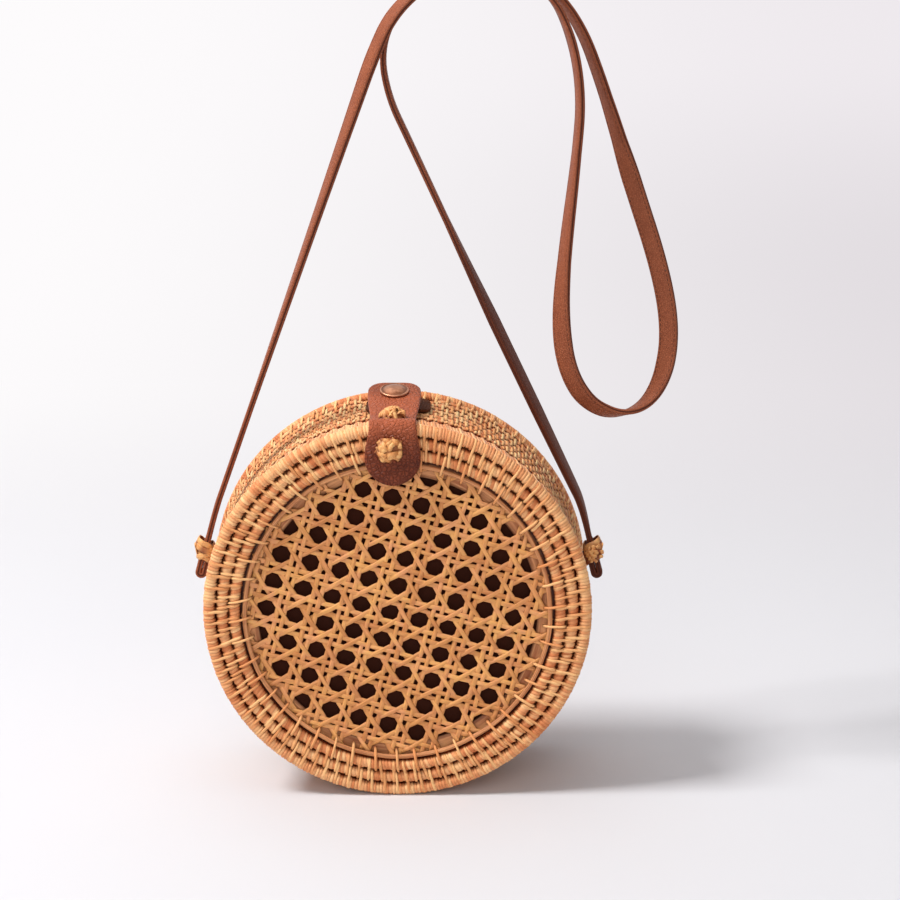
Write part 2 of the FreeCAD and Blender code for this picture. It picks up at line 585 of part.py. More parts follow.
def nodes():
    """Every piece by name, about the bag's centre."""
    built = {}
    for name, side in (("front", FRONT), ("rear", REAR)):
        built[name + "_bead"] = bead(side)
        built[name + "_face_coils"] = face_coils(side)
        built[name + "_wall"] = wall(side)
        built[name + "_hoop"] = hoop(side)
        built[name + "_inner_hoop"] = inner_hoop(side)
        built[name + "_cane_panel"] = cane_panel(side)
        built[name + "_lacing"] = lacing(side)
        built[name + "_lining"] = lining(side)
        built[name + "_hinge_loops"] = hinge_loops(side)
    for name in ("front_face_coils", "front_wall"):
        built[name] = built[name].cut(front_shank_holes())
    built["rear_wall"] = built["rear_wall"].cut(Part.makeCompound([strap_shank_hole(), patch_shank_hole()]))
    built["hinge_cord"] = hinge_cord()
    built["snap_patch"] = snap_patch()
    built["patch_knot"] = knot(PATCH_KNOT_RADIUS, PATCH_KNOT_HEIGHT, V(0, PATCH_KNOT_Y, PATCH_TOP), Z_AXIS,
                               PATCH_TOP - WALL_INSIDE)
    built["snap_stud"] = snap_stud()
    built["strap_end_left"] = strap_end(-1)
    built["strap_end_right"] = strap_end(1)
    built["strap_knot_left"] = strap_knot(-1)
    built["strap_knot_right"] = strap_knot(1)
    built["shoulder_strap"] = shoulder_strap()
    built["tab_base"] = tab_base()
    built["tab_knot_lower"], built["tab_knot_upper"] = tab_knots()
    built["tab_tail"] = tab_tail()
    built["snap_cap"] = snap_cap()
    built["snap_socket"] = snap_socket()
    return built


def main():
    os.makedirs("parts", exist_ok=True)
    for name, shape in nodes().items():
        shape.translate(V(0, 0, -GRIP_HEIGHT))
        shape.exportStep("parts/" + name + ".step")
        print(name, "solids", len(shape.Solids), "volume", round(shape.Volume), "valid", shape.isValid())


main()
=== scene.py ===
"""Circle bag: the looks of a round rattan crossbody bag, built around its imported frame.

Every length is in metres. The bag's axis runs along Y, its front looks to -Y, and the strap's grip is at Z 0.
A turn is the angle round the bag's axis from +X towards +Z. A depth is the distance from the bag's middle
plane, Y 0, to the front on the lid and to the back on the rear half. A height on the bag starts at its axis.
"""

import bpy
import numpy as np
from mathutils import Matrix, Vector


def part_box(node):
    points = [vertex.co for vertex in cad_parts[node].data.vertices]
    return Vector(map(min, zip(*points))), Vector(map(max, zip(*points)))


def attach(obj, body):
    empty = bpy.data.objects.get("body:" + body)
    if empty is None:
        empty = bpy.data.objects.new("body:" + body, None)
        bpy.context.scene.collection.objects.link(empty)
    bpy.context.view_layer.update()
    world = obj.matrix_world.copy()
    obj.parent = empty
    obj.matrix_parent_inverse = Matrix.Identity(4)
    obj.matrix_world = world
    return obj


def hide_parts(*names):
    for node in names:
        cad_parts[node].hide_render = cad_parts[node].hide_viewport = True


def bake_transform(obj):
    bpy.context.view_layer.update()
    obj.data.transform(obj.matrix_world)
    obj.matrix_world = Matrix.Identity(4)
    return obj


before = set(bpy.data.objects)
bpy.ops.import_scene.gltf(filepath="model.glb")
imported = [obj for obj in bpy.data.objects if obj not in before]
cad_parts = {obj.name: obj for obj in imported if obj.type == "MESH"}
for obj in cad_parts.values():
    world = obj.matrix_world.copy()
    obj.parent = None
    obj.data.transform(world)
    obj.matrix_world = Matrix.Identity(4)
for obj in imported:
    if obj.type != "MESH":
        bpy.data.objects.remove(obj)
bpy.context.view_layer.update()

FULL_TURN = 2 * np.pi

# The bag's main sizes, read from the frame
BEAD_LOW, BEAD_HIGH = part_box("front_bead")
BAG_RADIUS = (BEAD_HIGH[0] - BEAD_LOW[0]) / 2
CENTRE_Z = (BEAD_HIGH[2] + BEAD_LOW[2]) / 2
FACE_DEPTH = -BEAD_LOW[1]
FLOOR_Z = BEAD_LOW[2]
SIDES = {"front": -1, "rear": 1}

# Wrapped coils: the beads, the face rows and the walls
BEAD_THICK = 0.0032
BEAD_RING = BAG_RADIUS - BEAD_THICK
BEAD_DEPTH = FACE_DEPTH - BEAD_THICK
ROW_RADII = (0.0903, 0.0841)
ROW_HALF = 0.00305
ROW_DEPTH = 0.0365
ROW_OUT = FACE_DEPTH - ROW_DEPTH
# A ring behind the face rows, seen through their gaps: brown painted shade in place of the light bounced in
# there
ROW_BACK = np.array([(0.0830, 0.0345), (0.0950, 0.0345), (0.0950, 0.0338), (0.0830, 0.0338)])
WALL_RADIUS = 0.0970
WALL_INSIDE = 0.0920
WALL_BACK = 0.0335
REAR_ROWS = 7
REAR_MOUTH = -0.0097
REAR_PITCH = (WALL_BACK - REAR_MOUTH) / REAR_ROWS
REAR_WRAP_ROOM = 0.0005
# Where a wall's rows start to climb towards the bead, and by how much; they stay low near the tab's turn
CLIMBS = {-1: (0.014, 0.0018), 1: (0.013, 0.0022)}
TAB_TURN = 0.185
TAB_TURN_EASE = 0.06

# The wraps of a coil: the lines along each, their arch, lean and height, and the room left for them
WRAP_LINES = np.array([0.0, 0.16, 0.5, 0.84])
WRAP_ARCH = (0.0, 0.74, 1.0, 0.74)
WRAP_ROOM = 0.0003
WRAP_LEAN = 0.0009
WRAP_SIDE_SWELL = 0.3
# Painted shade in the crease between two wraps
WRAP_CREASE_SHADE = 0.38
BEAD_RIDGE = 0.00050
ROW_RIDGE = 0.00032
PINCH = 0.00055
COIL_ANGLES = np.pi * np.concatenate([np.linspace(-0.12, 1.12, 10), [1.35, 1.65]])
COIL_WAVES = ((0.00010, 9), (0.00008, 23))
# How soon a coil's painted shade sets in beyond its open side
CREASE_SHADE_EASE = np.radians(34)

# The lid's edge: its bead's section, its rows, its plain inside, and the lip with its row of small holes
LID_ANGLES = np.radians([205, 178, 155, 135, 115, 95, 75, 55, 36, 18, 0, -18])
LID_ROWS = 4
LID_ROW_LINES = 6
LID_MOUTH = 0.0103
LID_BACK = WALL_BACK - 0.0006
LID_CREASE = 0.0006
LID_SWELL = 0.8
# Painted shade at the roll's start beside the face, and on its plain inside
LID_SHADE_START = (1, 0.85, 0.35)
LID_SHADE_INSIDE = (0.6, 1, 1, 1, 1)
LID_INSIDE = ((0.0949, 0.01042), (0.0938, 0.01030), (0.0922, 0.01040), (0.0921, 0.0220), (0.0921, 0.0332))
LIP_DEPTH = 0.0135
LIP_EASE = 0.0035
LIP_DROP = 0.0014
HOLE_DEPTH = 0.0128
HOLE_REACH = 0.0016

# Cane stitches over the coils, and laces round the panel's hoop; a line is a row of radius and depth pairs
STRIP_SECTION = np.array([(-0.5, 0.0), (-0.34, 0.78), (0.0, 1.0), (0.34, 0.78), (0.5, 0.0), (0.0, -0.5)])
STRIP_WIDTHS = (0.86, 1.14)
STRIP_HEIGHTS = (0.8, 1.2)
STRIP_SHIFT = 0.00022
STRIP_SKEW = 0.00030
STITCHES = 92
STITCH_SIZE = (0.00165, 0.00050)
BEAD_STITCH_LEAN = -0.0015
BEAD_STITCH_ANGLES = np.radians([-10, 20, 62, 95])
BEAD_STITCH_SINK = {"front": 0.0002, "rear": 0.0005}
BEAD_STITCH_START = {
    "front": ((0.0956, 0.0124), (0.0966, 0.0142), (0.0970, 0.0190), (0.0971, 0.0270), (0.0972, 0.0330)),
    "rear": ((0.0955, 0.0280), (0.0966, 0.0284), (0.0970, 0.0300), (0.0970, 0.0330)),
}
BEAD_STITCH_END = ((0.0934, 0.0394), (0.0903, 0.0400), (0.0880, 0.0392), (0.0871, 0.0379))
# Over both face rows: out of the crease by the bead, over the crests, down beside the hoop
ROW_STITCH_LEAN = -0.0009
ROW_STITCH_LINE = ((0.0932, 0.0381), (0.0921, 0.0394), (0.0903, 0.0400), (0.0886, 0.0396), (0.0872, 0.0391),
                   (0.0858, 0.0396), (0.0841, 0.0400), (0.0824, 0.0395), (0.0812, 0.0378))
# Over the inner face row and the hoop: out of the crease between the rows, into the webbing's edge
LACES = 46
LACE_SIZE = (0.00150, 0.00070)
LACE_LEAN = -0.0008
LACE_LINE = ((0.0871, 0.0383), (0.0862, 0.0396), (0.0842, 0.0402), (0.0818, 0.0397), (0.0800, 0.0394),
             (0.0782, 0.0388), (0.0766, 0.0374), (0.0753, 0.0362))
# Over the rear wall: shares of a stitch's reach, with how deep it sinks and its painted shade there
WALL_STITCHES = 112
WALL_STITCH_SIZE = (0.0017, 0.00042)
WALL_STITCH_LEAN = 0.0003
WALL_STITCH_SHARES = np.array([-1.0, -0.94, -0.84, -0.4, 0.4, 0.84, 0.94, 1.0])
WALL_STITCH_REACH = 0.97
MOUTH_STITCH = (0.53, 0.47)
WALL_STITCH_SINK = np.array([0.0017, 0.0009, 0.0002, 0.0, 0.0, 0.0002, 0.0009, 0.0017])
WALL_STITCH_SHADE = (1.4, 1.0, 0.2, 0.0, 0.0, 0.2, 1.0, 1.4)

# Cane panel
PANEL_DEPTH = 0.0360
PANEL_REACH = 0.0795
PANEL_RIM = 0.003
LATTICE_ORIGIN = np.array([-0.00393, -0.00072])
LATTICE_TURN = np.radians(-15.95)
LATTICE_PITCH = np.array([0.01548, 0.01485])
LATTICE_STEPS = 12
PAIR_HALF = 0.00190
PAIR_RISE = 0.00028
SLANT_RISE = 0.00055
CANE_WIDTH = 0.00256
CANE_WIDTHS = (0.86, 1.12)
CANE_THICK = 0.00050
CANE_SINK = 0.22
CANE_TRIM = 0.0012
CANE_WOBBLE = 0.00022
CANE_WOBBLE_PACE = 210
CANE_SECTION = np.array([(-0.5, 0.0), (-0.40, 0.62), (-0.18, 0.94), (0.18, 0.94), (0.40, 0.62), (0.5, 0.0),
                         (0.0, -0.5)])

# Hoops: radius, depth, then half their width and height
HOOP = (0.07865, 0.0379, 0.00115, 0.0011)
HOOP_BLUNT = (0.8, 0.7)
HOOP_WAVES = ((0.00022, 5), (0.00012, 17))
HOOP_LEVEL_WAVES = ((0.00012, 7),)
UNDER_HOOP = (0.07810, 0.03425, 0.00610, 0.00075)
UNDER_HOOP_BLUNT = 0.7
UNDER_HOOP_RIPPLE = (0.00008, 31)

# Linings: where the hem lies, then the flat size and the area of the cloth
LININGS = {"front": (0.0113, 0.228, 0.0379), "rear": (-0.0087, 0.266, 0.0494)}
LINING_CORNER = 0.0305
LINING_PUCKER = 0.00022
LINING_WAVE = 0.0003

# Leather tab, snap and patch
LEATHER_EDGE = 0.00055
LEATHER_SHARES = np.array([-1.0, -0.8, -0.45, 0.0, 0.45, 0.8, 1.0])
LEATHER_BOW = np.array([0.62, 0.0, -0.62])
LEATHER_DARK = np.array(([0.0] * 7 + [0.6, 1.0, 0.6]) * 2)
TAB_X = -0.0020
TAB_THICK = 0.0020
# Heights over which painted light pales the tab's top
TAB_LIT_HEIGHTS = (0.082, 0.105)
TAB_BEND = (180, 60)
TAB_BEND_RADIUS = 0.0047
TAB_LOW = 0.0687
TAB_LOBE = 0.0142
TAB_SHOULDER = 0.0119
TAB_SHOULDER_RISE = (0.084, 0.016)
TAB_FLEX_Y = -0.017
TAB_END = 0.0138
TAB_END_Y = 0.0195
TAB_CORNER = 0.0080
TAB_FLAT = 0.0983
TAB_TAIL = 0.1070
TAB_TOP_Y = -0.0368
TAB_WIDTHS = ((TAB_TOP_Y, TAB_SHOULDER), (-0.027, 0.0113), (-0.016, 0.0120), (-0.004, 0.0133),
              (0.006, TAB_END))
TAB_WALL = ((-0.0300, 0.0993), (-0.0240, 0.0986), (TAB_FLEX_Y, TAB_FLAT), (TAB_END_Y, TAB_TAIL))
TAB_LEAST = 0.0012
SNAP_Y = 0.009
CAP_SEAT = 0.1058
CAP_PROFILE = ((0.0005, 0.0), (0.0066, 0.0), (0.0074, 0.0001), (0.0076, 0.0005), (0.0075, 0.0010),
               (0.0071, 0.0013), (0.0067, 0.0012), (0.0065, 0.0010), (0.0062, 0.0011), (0.0056, 0.00145),
               (0.0045, 0.00190), (0.0032, 0.00225), (0.0018, 0.00248), (0.0004, 0.00256))
CAP_DARK = (1, 1, 0.3, 0, 0, 0, 0.6, 1, 0.8, 0.4, 0.15, 0, 0, 0)
PATCH_RADIUS = 0.09795
PATCH_THICK = 0.0015
PATCH_HALF = 0.0170
PATCH_CORNER = 0.006
PATCH_Y = (0.0005, 0.0265)

# Strap
STRAP_WIDTH = 0.0100
STRAP_THICK = 0.0030
STRAP_ROUTE = (
    (-0.1004, 0.0090, -0.2830), (-0.0965, 0.0085, -0.2680), (-0.0914, 0.0076, -0.2537),
    (-0.0200, -0.0046, -0.0517), (-0.0120, -0.0060, -0.0290), (-0.0020, -0.0060, -0.0070),
    (0.0180, -0.0060, 0.0100), (0.0500, -0.0060, 0.0140), (0.0760, -0.0060, 0.0050),
    (0.0880, -0.0060, -0.0190), (0.0930, -0.0060, -0.0480), (0.0910, -0.0060, -0.0780),
    (0.0850, -0.0060, -0.1320), (0.0835, -0.0060, -0.1640), (0.0870, -0.0050, -0.1890),
    (0.0970, -0.0030, -0.2070), (0.1125, 0.0000, -0.2150), (0.1280, 0.0020, -0.2110),
    (0.1380, 0.0040, -0.1950), (0.1410, 0.0050, -0.1700), (0.1350, 0.0060, -0.1380),
    (0.1190, 0.0060, -0.0910), (0.1040, 0.0060, -0.0440), (0.0920, 0.0060, -0.0130),
    (0.0750, 0.0060, 0.0070), (0.0480, 0.0060, 0.0150), (0.0180, 0.0060, 0.0100),
    (0.0000, 0.0060, -0.0070), (-0.0080, 0.0060, -0.0280), (-0.0040, 0.0065, -0.0510),
    (0.0058, 0.0066, -0.0718), (0.0340, 0.0070, -0.1330), (0.0897, 0.0083, -0.2506),
    (0.0970, 0.0085, -0.2660), (0.1004, 0.0090, -0.2830),
)
# How far the strap's face is turned from the front, in degrees, at shares of its length
STRAP_TURNS = np.array([
    (0.00, 90), (0.06, 90), (0.15, 76), (0.18, 69), (0.215, 59), (0.235, 62), (0.28, 85), (0.325, 102),
    (0.372, 102), (0.417, 118), (0.434, 135), (0.452, 154), (0.474, 154), (0.488, 132), (0.500, 95),
    (0.512, 58), (0.525, 30), (0.541, 25), (0.606, 25), (0.622, 52), (0.640, 64), (0.693, 72),
    (0.74, 88), (0.85, 90), (0.872, 82), (0.897, 70), (0.94, 70), (0.975, 78), (1.00, 90),
])
# Its outline, in halves of width and thickness: a domed face with a sewn groove near each edge, a round edge
STRAP_FACE = ((-0.90, 0.96), (-0.80, 0.98), (-0.75, 0.86), (-0.70, 0.99), (-0.35, 1.03), (0.0, 1.05),
              (0.35, 1.03), (0.70, 0.99), (0.75, 0.86), (0.80, 0.98), (0.90, 0.96))
STRAP_SIDE = ((0.975, 0.72), (1.0, 0.36), (0.955, 0.0), (1.0, -0.36), (0.975, -0.72))
STRAP_DARK = np.array(([0.0] * 11 + [0.35, 0.5, 1.0, 0.5, 0.35]) * 2)
# The share of its length from which the strap gets painted shade, and the share over which that sets in
STRAP_SHADE_SHARES = (0.83, 0.05)
SEAM_INSET = 0.00125
SEAM_STEP = 0.0026
SEAM_START = 0.004
SEAM_LEVEL = 0.90
SEAM_DASH = np.array([(-0.00080, 0.0), (-0.00045, 1.0), (0.00045, 1.0), (0.00080, 0.0)])
SEAM_SECTION = np.array([(-0.00028, 0.0), (0.0, 0.00016), (0.00028, 0.0), (0.0, -0.00025)])
STRAP_END_X = 0.1004
STRAP_END_Y = 0.0090
STRAP_END_TOP = 0.0270
STRAP_END_LOW = 0.0083
STRAP_END_LAP = 0.0006
STRAP_END_EASE = 0.006
STRAP_END_BACK = 0.0222
STRAP_END_LEAN = 0.0042
STRAP_LEGS = (0.10205, 0.09875)

# Raffia knots: piece, body and node, then centre, outward and level ways, radius, height, seed and stretch
KNOTS = (
    ("tab_knot_front", "front_half", "tab_knot_lower",
     (TAB_X - 0.0015, -0.0424, CENTRE_Z + 0.0878), (0, -1, 0), (1, 0, 0.25), 0.0070, 0.0050, 301, 1.08),
    ("tab_knot_top", "front_half", "tab_knot_upper",
     (TAB_X, -0.0245, CENTRE_Z + 0.0992), (0, 0, 1), (1, 0.2, 0), 0.0062, 0.0074, 302, 1.15),
    ("patch_knot_raffia", "rear_half", "patch_knot",
     (0, 0.023, CENTRE_Z + 0.0987), (0, 0, 1), (1, 0, 0), 0.0026, 0.0020, 303, 1.0),
)
# A strand's turn from the one before, its height in the middle, fall and ripple, and its width and thickness
KNOT_STRANDS = 12
KNOT_TURN = 1.1
KNOT_DOME = (0.74, 0.58, 0.13)
KNOT_STRAND = (0.34, 0.17)
KNOT_DISC = np.array([(0.01, 0.52), (0.3, 0.50), (0.6, 0.38), (0.8, 0.20), (0.8, 0.02), (0.01, 0.02)])
# The bindings of the strap's ends: each ring's slant, height and swell, and each tail's side and height
BIND_X = 0.1022
BIND_Z = CENTRE_Z + 0.0190
BIND_HALF = (0.0038, 0.0056)
BIND_BLUNT = (0.7, 0.6)
BIND_RINGS = ((0.0030, 0.0040, 0.0), (0.0034, -0.0034, 0.0), (-0.0026, 0.0004, 0.0005),
              (0.0040, 0.0006, 0.0011))
BIND_SIZE = (0.0034, 0.0011)
BIND_TAILS = ((-1, 0.0052), (1, -0.0046))
BIND_TAIL_SIZE = (0.0030, 0.0011)
BIND_TAIL_ROOT = (0.0044, 0.0030)
BIND_TAIL_TIP = (0.0052, 0.0044)
# The knot in front of the right binding
# Its last number deepens the painted shade where its strands dip, as the right end lies in the bag's shadow
BIND_KNOT = ((BIND_X + 0.0008, STRAP_END_Y - BIND_HALF[1], BIND_Z), (0.25, -1, 0.1), (1, 0, 0.3),
             0.0050, 0.0034, 311, 1.0, 0.22)

# Hinge under the bag: each loop's first X, then what its strands measure, and the cord
HINGE_Y = -0.0100
HINGE_DROP = 0.09855
HINGE_STARTS = (-0.0133, -0.0079, -0.0025, 0.0029, 0.0083)
HINGE_WIDTH = 0.0050
HINGE_LANES = 4
HINGE_TAIL = 0.0110
HINGE_TAIL_BACK = 0.0100
HINGE_TURN_Y = 0.0016
HINGE_EASE = 0.004
HINGE_LEVELS = (0.00098, 0.00050)
HINGE_RING = 0.00102
HINGE_ANGLES = (62, 298)
HINGE_STRAND = (0.00135, 0.00055)
CORD_HALF = 0.0150
CORD_PLY = 0.00062
CORD_LAY = 0.0030
CORD_RING = 0.00028
CORD_KNOT = (0.0013, 0.0010)

# The length that one step of the UV map takes
LID_STEP = 0.018
CANE_STEP = 0.001
STRAP_STEP = 0.01

# How many points go along or round a piece
RING_POINTS = 180
HOOP_POINTS = 360
HOOP_SIDES = 12
CANE_POINTS = 110
TAB_LINE_PARTS = (90, 40, 150)
TAB_LINE_POINTS = 400
TAB_EASE_POINTS = 9
TAB_POINTS = 130
PATCH_POINTS = 60
CAP_POINTS = 56
STRAND_SIDES = 8
KNOT_POINTS = 22
DISC_POINTS = 24
BIND_POINTS = 56
TAIL_POINTS = 10
FOLD_POINTS = (26, 16, 18)
LOOP_POINTS = (14, 30)
CORD_POINTS = 160
SWEEP_POINTS = (40, 24, 20)
SWEEP_COLUMNS = 30

# Studio: the sweep and where its glow changes, then name, place, size and power of each lamp
SWEEP_FRONT = -2.0
SWEEP_BEND_Y = 1.2
SWEEP_BEND = 0.8
SWEEP_TOP = 2.4
SWEEP_HALF = 2.6
GLOW_X = (-0.45, 0.60)
GLOW_Y = (0.15, 0.9)
GLOW_RISE = 0.2
LAMPS = (
    ("key_light", (-1.52, -0.44, 1.95), 0.70, 68.0),
    ("front_fill", (-0.30, -1.7, 0.55), 1.0, 7.4),
    ("overhead", (-0.35, 0.15, 2.2), 2.4, 18.0),
)
SKY_LIGHT = 0.30
CAMERA_PLACE = (0.0270, -1.361, 0.122)
CAMERA_TILT = np.radians(75.36)
CAMERA_LENS = 108.0
CAMERA_SENSOR = 36.0


def tone(red, green, blue):
    """The linear colour of a tone given in the usual 0 to 255 steps."""
    steps = np.array([red, green, blue]) / 255
    linear = np.where(steps > 0.04045, ((steps + 0.055) / 1.055) ** 2.4, steps / 12.92)
    return (*linear.tolist(), 1.0)


def operator(operation, reflected=False):
    """A Python operator on a Value: it adds a Math node. The reflected form has the other number first."""
    def apply(value, other):
        pair = (other, value) if reflected else (value, other)
        return value.finish.node("Math", {"operation": operation}, dict(enumerate(pair)))
    return apply


class Value:
    """What a node gives out. Plus, minus and times add a Math node."""

    __add__ = operator("ADD")
    __radd__ = operator("ADD", True)
    __sub__ = operator("SUBTRACT")
    __rsub__ = operator("SUBTRACT", True)
    __mul__ = operator("MULTIPLY")
    __rmul__ = operator("MULTIPLY", True)

    def __init__(self, finish, socket):
        self.finish = finish
        self.socket = socket

    def between(self, low, high):
        """0 below low, 1 above high and a soft step between them."""
        sockets = {"Value": self, "From Min": low, "From Max": high}
        return self.finish.node("MapRange", {"interpolation_type": "SMOOTHSTEP"}, sockets)


class Finish:
    """A material: a Principled shader, and the nodes that feed it."""

    def __init__(self, name, constants):
        self.keep(bpy.data.materials.new(name))
        self.shader = self.tree.nodes["Principled BSDF"]
        for socket, value in constants.items():
            self.shader.inputs[socket].default_value = value

    def keep(self, material):
        """Hold a material or a world and its nodes."""
        self.material = material
        self.material.use_nodes = True
        self.tree = self.material.node_tree

    def feed(self, socket, value):
        """Link a Value to a socket, or set a constant."""
        if isinstance(value, Value):
            self.tree.links.new(value.socket, socket)
        else:
            socket.default_value = value

    def node(self, kind, settings, sockets, output=0):
        """A node of a kind: its settings come first, then its sockets' values or links."""
        node = self.tree.nodes.new("ShaderNode" + kind)
        for name, value in settings.items():
            setattr(node, name, value)
        for name, value in sockets.items():
            self.feed(node.inputs[name], value)
        return Value(self, node.outputs[output])

    def place(self):
        """The point on the piece, in the bag's frame."""
        return self.node("TexCoord", {}, {}, "Object")

    def along(self, axis):
        """One coordinate of the point on the piece."""
        return self.node("SeparateXYZ", {}, {"Vector": self.place()}, axis)

    def spread(self, along, across):
        """The piece's own UV map, scaled along and across."""
        flat = self.node("UVMap", {}, {})
        return self.node("Mapping", {}, {"Vector": flat, "Scale": (along, across, 1.0)})

    def mark(self, name):
        """A number that the mesh carries at each point."""
        return self.node("Attribute", {"attribute_name": name}, {}, "Fac")

    def noise(self, where, scale, detail=3.0, roughness=0.55):
        """Cloudy noise from 0 to 1."""
        sockets = {"Vector": where, "Scale": scale, "Detail": detail, "Roughness": roughness}
        return self.node("TexNoise", {}, sockets)

    def seen(self):
        """1 where the camera, a mirror or glass sees the surface, 0 where it only lights other things."""
        rays = ("Is Camera Ray", "Is Glossy Ray", "Is Transmission Ray")
        camera, mirror, glass = [self.node("LightPath", {}, {}, ray) for ray in rays]
        return (camera + mirror + glass).between(0.0, 1.0)

    def mix(self, share, first, second):
        """A colour between two colours."""
        return self.node("Mix", {"data_type": "RGBA"}, {0: share, 6: first, 7: second}, 2)

    def dress(self, colour, roughness, height, depth):
        """Feed the shader, with small relief as deep as depth where height goes from 0 to 1."""
        bump = self.node("Bump", {}, {"Height": height, "Distance": depth})
        for socket, value in (("Base Color", colour), ("Roughness", roughness), ("Normal", bump)):
            self.feed(self.shader.inputs[socket], value)
        return self.material

    def dress_strip(self, body, crease, dark, streak, roughness, swing, depth):
        """Feed the shader of a plant strip: painted shade in its creases, with streaks in its gloss and
        relief.
        """
        colour = self.mix(self.mark("hollow").between(*crease), body, dark)
        return self.dress(colour, roughness + streak * swing, streak, depth)


class Sky(Finish):
    """The world: its nodes are made as a material's are."""

    def __init__(self, name):
        self.keep(bpy.data.worlds.new(name))


def coil_finish():
    """Rattan wraps: pinkish tan to cream by wrap, painted shade in the creases, with fibres along each wrap.
    """
    f = Finish("coiled_rattan", {"Specular IOR Level": 0.12})
    fibres = f.noise(f.spread(7.0, 2.2), 1.0, 4.0, 0.6)
    blotch = f.noise(f.place(), 55.0)
    share = (f.mark("tint") * 0.4 + fibres * 0.5 + blotch * 0.6 - 0.2).between(0.0, 1.0)
    warm = f.mix(share.between(0.0, 0.55), tone(192, 104, 59), tone(226, 145, 94))
    body = f.mix(share.between(0.45, 1.0), warm, tone(255, 202, 144))
    return f.dress_strip(body, (0.05, 1.0), tone(124, 48, 10), fibres, 0.30, 0.25, 0.00016)


def stitch_finish(name, dark, light, dull):
    """Split cane strips: light cream, with painted shade where they dive in, and a fine grain along them."""
    f = Finish(name, {"Specular IOR Level": 0.12})
    grain = f.noise(f.spread(0.6, 9.0), 1.0)
    share = (f.mark("tint") * 0.55 + grain * 0.6 - 0.1).between(0.05, 0.95)
    body = f.mix(share, dark, light)
    return f.dress_strip(body, (0.2, 1.2), tone(104, 42, 12), grain, dull, 0.2, 0.00010)


def cane_finish():
    """Cane webbing: golden strips with streaks along them, and painted shade at their edges and where they
    dip.
    """
    f = Finish("cane_webbing", {"Specular IOR Level": 0.45})
    streak = f.noise(f.spread(0.10, 5.0), 1.0, 4.0, 0.65)
    patchy = f.noise(f.place(), 70.0, 2.0)
    share = (f.mark("tint") * 0.35 + streak * 0.8 + patchy * 0.5 - 0.35).between(0.05, 0.95)
    blush = f.noise(f.place(), 160.0, 2.0).between(0.35, 0.7)
    body = f.mix(share, tone(198, 122, 62), f.mix(blush, tone(252, 186, 106), tone(247, 172, 116)))
    return f.dress_strip(body, (0.25, 1.1), tone(112, 50, 14), streak, 0.34, 0.25, 0.00012)


def hoop_finish():
    """Plain rattan: peeled cane with long streaks, a few darker stretches, and painted shade where a hoop
    turns away.
    """
    f = Finish("plain_rattan", {"Specular IOR Level": 0.4})
    streak = f.noise(f.spread(0.30, 17.0), 1.0, 4.0, 0.6)
    patchy = f.noise(f.place(), 42.0)
    share = (f.mark("tint") * 0.3 + streak * 1.5 + patchy * 0.6 - 0.72).between(0.1, 0.95)
    body = f.mix(share, tone(164, 90, 48), tone(240, 172, 114))
    return f.dress_strip(body, (0.25, 1.1), tone(70, 27, 9), streak, 0.4, 0.25, 0.00035)


def raffia_finish():
    """Raffia: glossy straw fibres that run along each strand, with painted shade where strands turn away or
    dip.
    """
    f = Finish("raffia", {"Specular IOR Level": 0.45})
    fibre = f.noise(f.spread(0.5, 7.0), 1.0, 4.0, 0.65)
    share = (f.mark("tint") * 0.5 + fibre * 0.9 - 0.25).between(0.05, 0.95)
    body = f.mix(share, tone(206, 126, 62), tone(250, 196, 126))
    return f.dress_strip(body, (0.1, 0.9), tone(124, 52, 14), fibre, 0.38, 0.25, 0.00022)


def leather_finish(name, dark, light, edge, grain, depth, gloss, shine, even, top_light):
    """Pebbled leather: small cells with dark furrows, cloudy colour and a painted cut edge.

    grain counts the cells, depth is their relief, gloss the roughness and shine the reflection. even is how
    strongly the clouds show, and the last argument how far painted light pales the leather where it lies on
    the bag's top."""
    f = Finish(name, {"Specular IOR Level": shine})
    where = f.place()
    cut = f.mark("hollow")
    cells = f.node("TexVoronoi", {"feature": "DISTANCE_TO_EDGE"}, {"Vector": where, "Scale": grain})
    pebble = cells.between(0.0, 0.28)
    cloud = f.noise(where, 120.0, 4.0, 0.6)
    fine = f.noise(where, grain * 2.6, 2.0)
    share = (cloud * even + pebble * 0.3 + (0.4 - 0.55 * even)).between(0.1, 1.0)
    # The tint mixes in the edge tone: painted shade on the strap's right strand and its right end
    body = f.mix(f.mark("tint") * 0.75, f.mix(share, dark, light), edge)
    # Painted light: the leather is paler and redder high on the bag's top, which faces the lamps
    top = (f.along("Z") - CENTRE_Z).between(*TAB_LIT_HEIGHTS)
    wear_and_top_light = f.mix(top * (0.5 + cloud * 0.6) * top_light, body, tone(190, 100, 64))
    colour = f.mix(cut.between(0.35, 0.9), wear_and_top_light, edge)
    roughness = gloss + 0.12 - pebble * 0.12 + cloud * 0.1
    return f.dress(colour, roughness, pebble * (1 - cut) + fine * 0.35, depth)


def thread_finish():
    """Waxed sewing thread: dark brown, twisted."""
    f = Finish("strap_thread", {"Specular IOR Level": 0.3})
    twist = f.noise(f.place(), 900.0, 2.0).between(0.3, 0.7)
    return f.dress(f.mix(twist, tone(44, 20, 12), tone(86, 44, 28)), 0.55 + twist * 0.15, twist, 0.00008)


def brass_finish(name, wear_and_top_light, dull, rough):
    """Antique brass: brighter where it is handled, dull brown elsewhere, faintly scratched."""
    f = Finish(name, {"Metallic": 1.0})
    scratch = f.noise(f.place(), 700.0, 4.0, 0.7)
    cloud = f.noise(f.place(), 160.0)
    share = (cloud * 0.8 + scratch * 0.35 - f.mark("hollow") * 0.7).between(0.15, 0.85)
    return f.dress(f.mix(share, dull, wear_and_top_light), rough - 0.06 + scratch * 0.18, scratch, 0.00003)


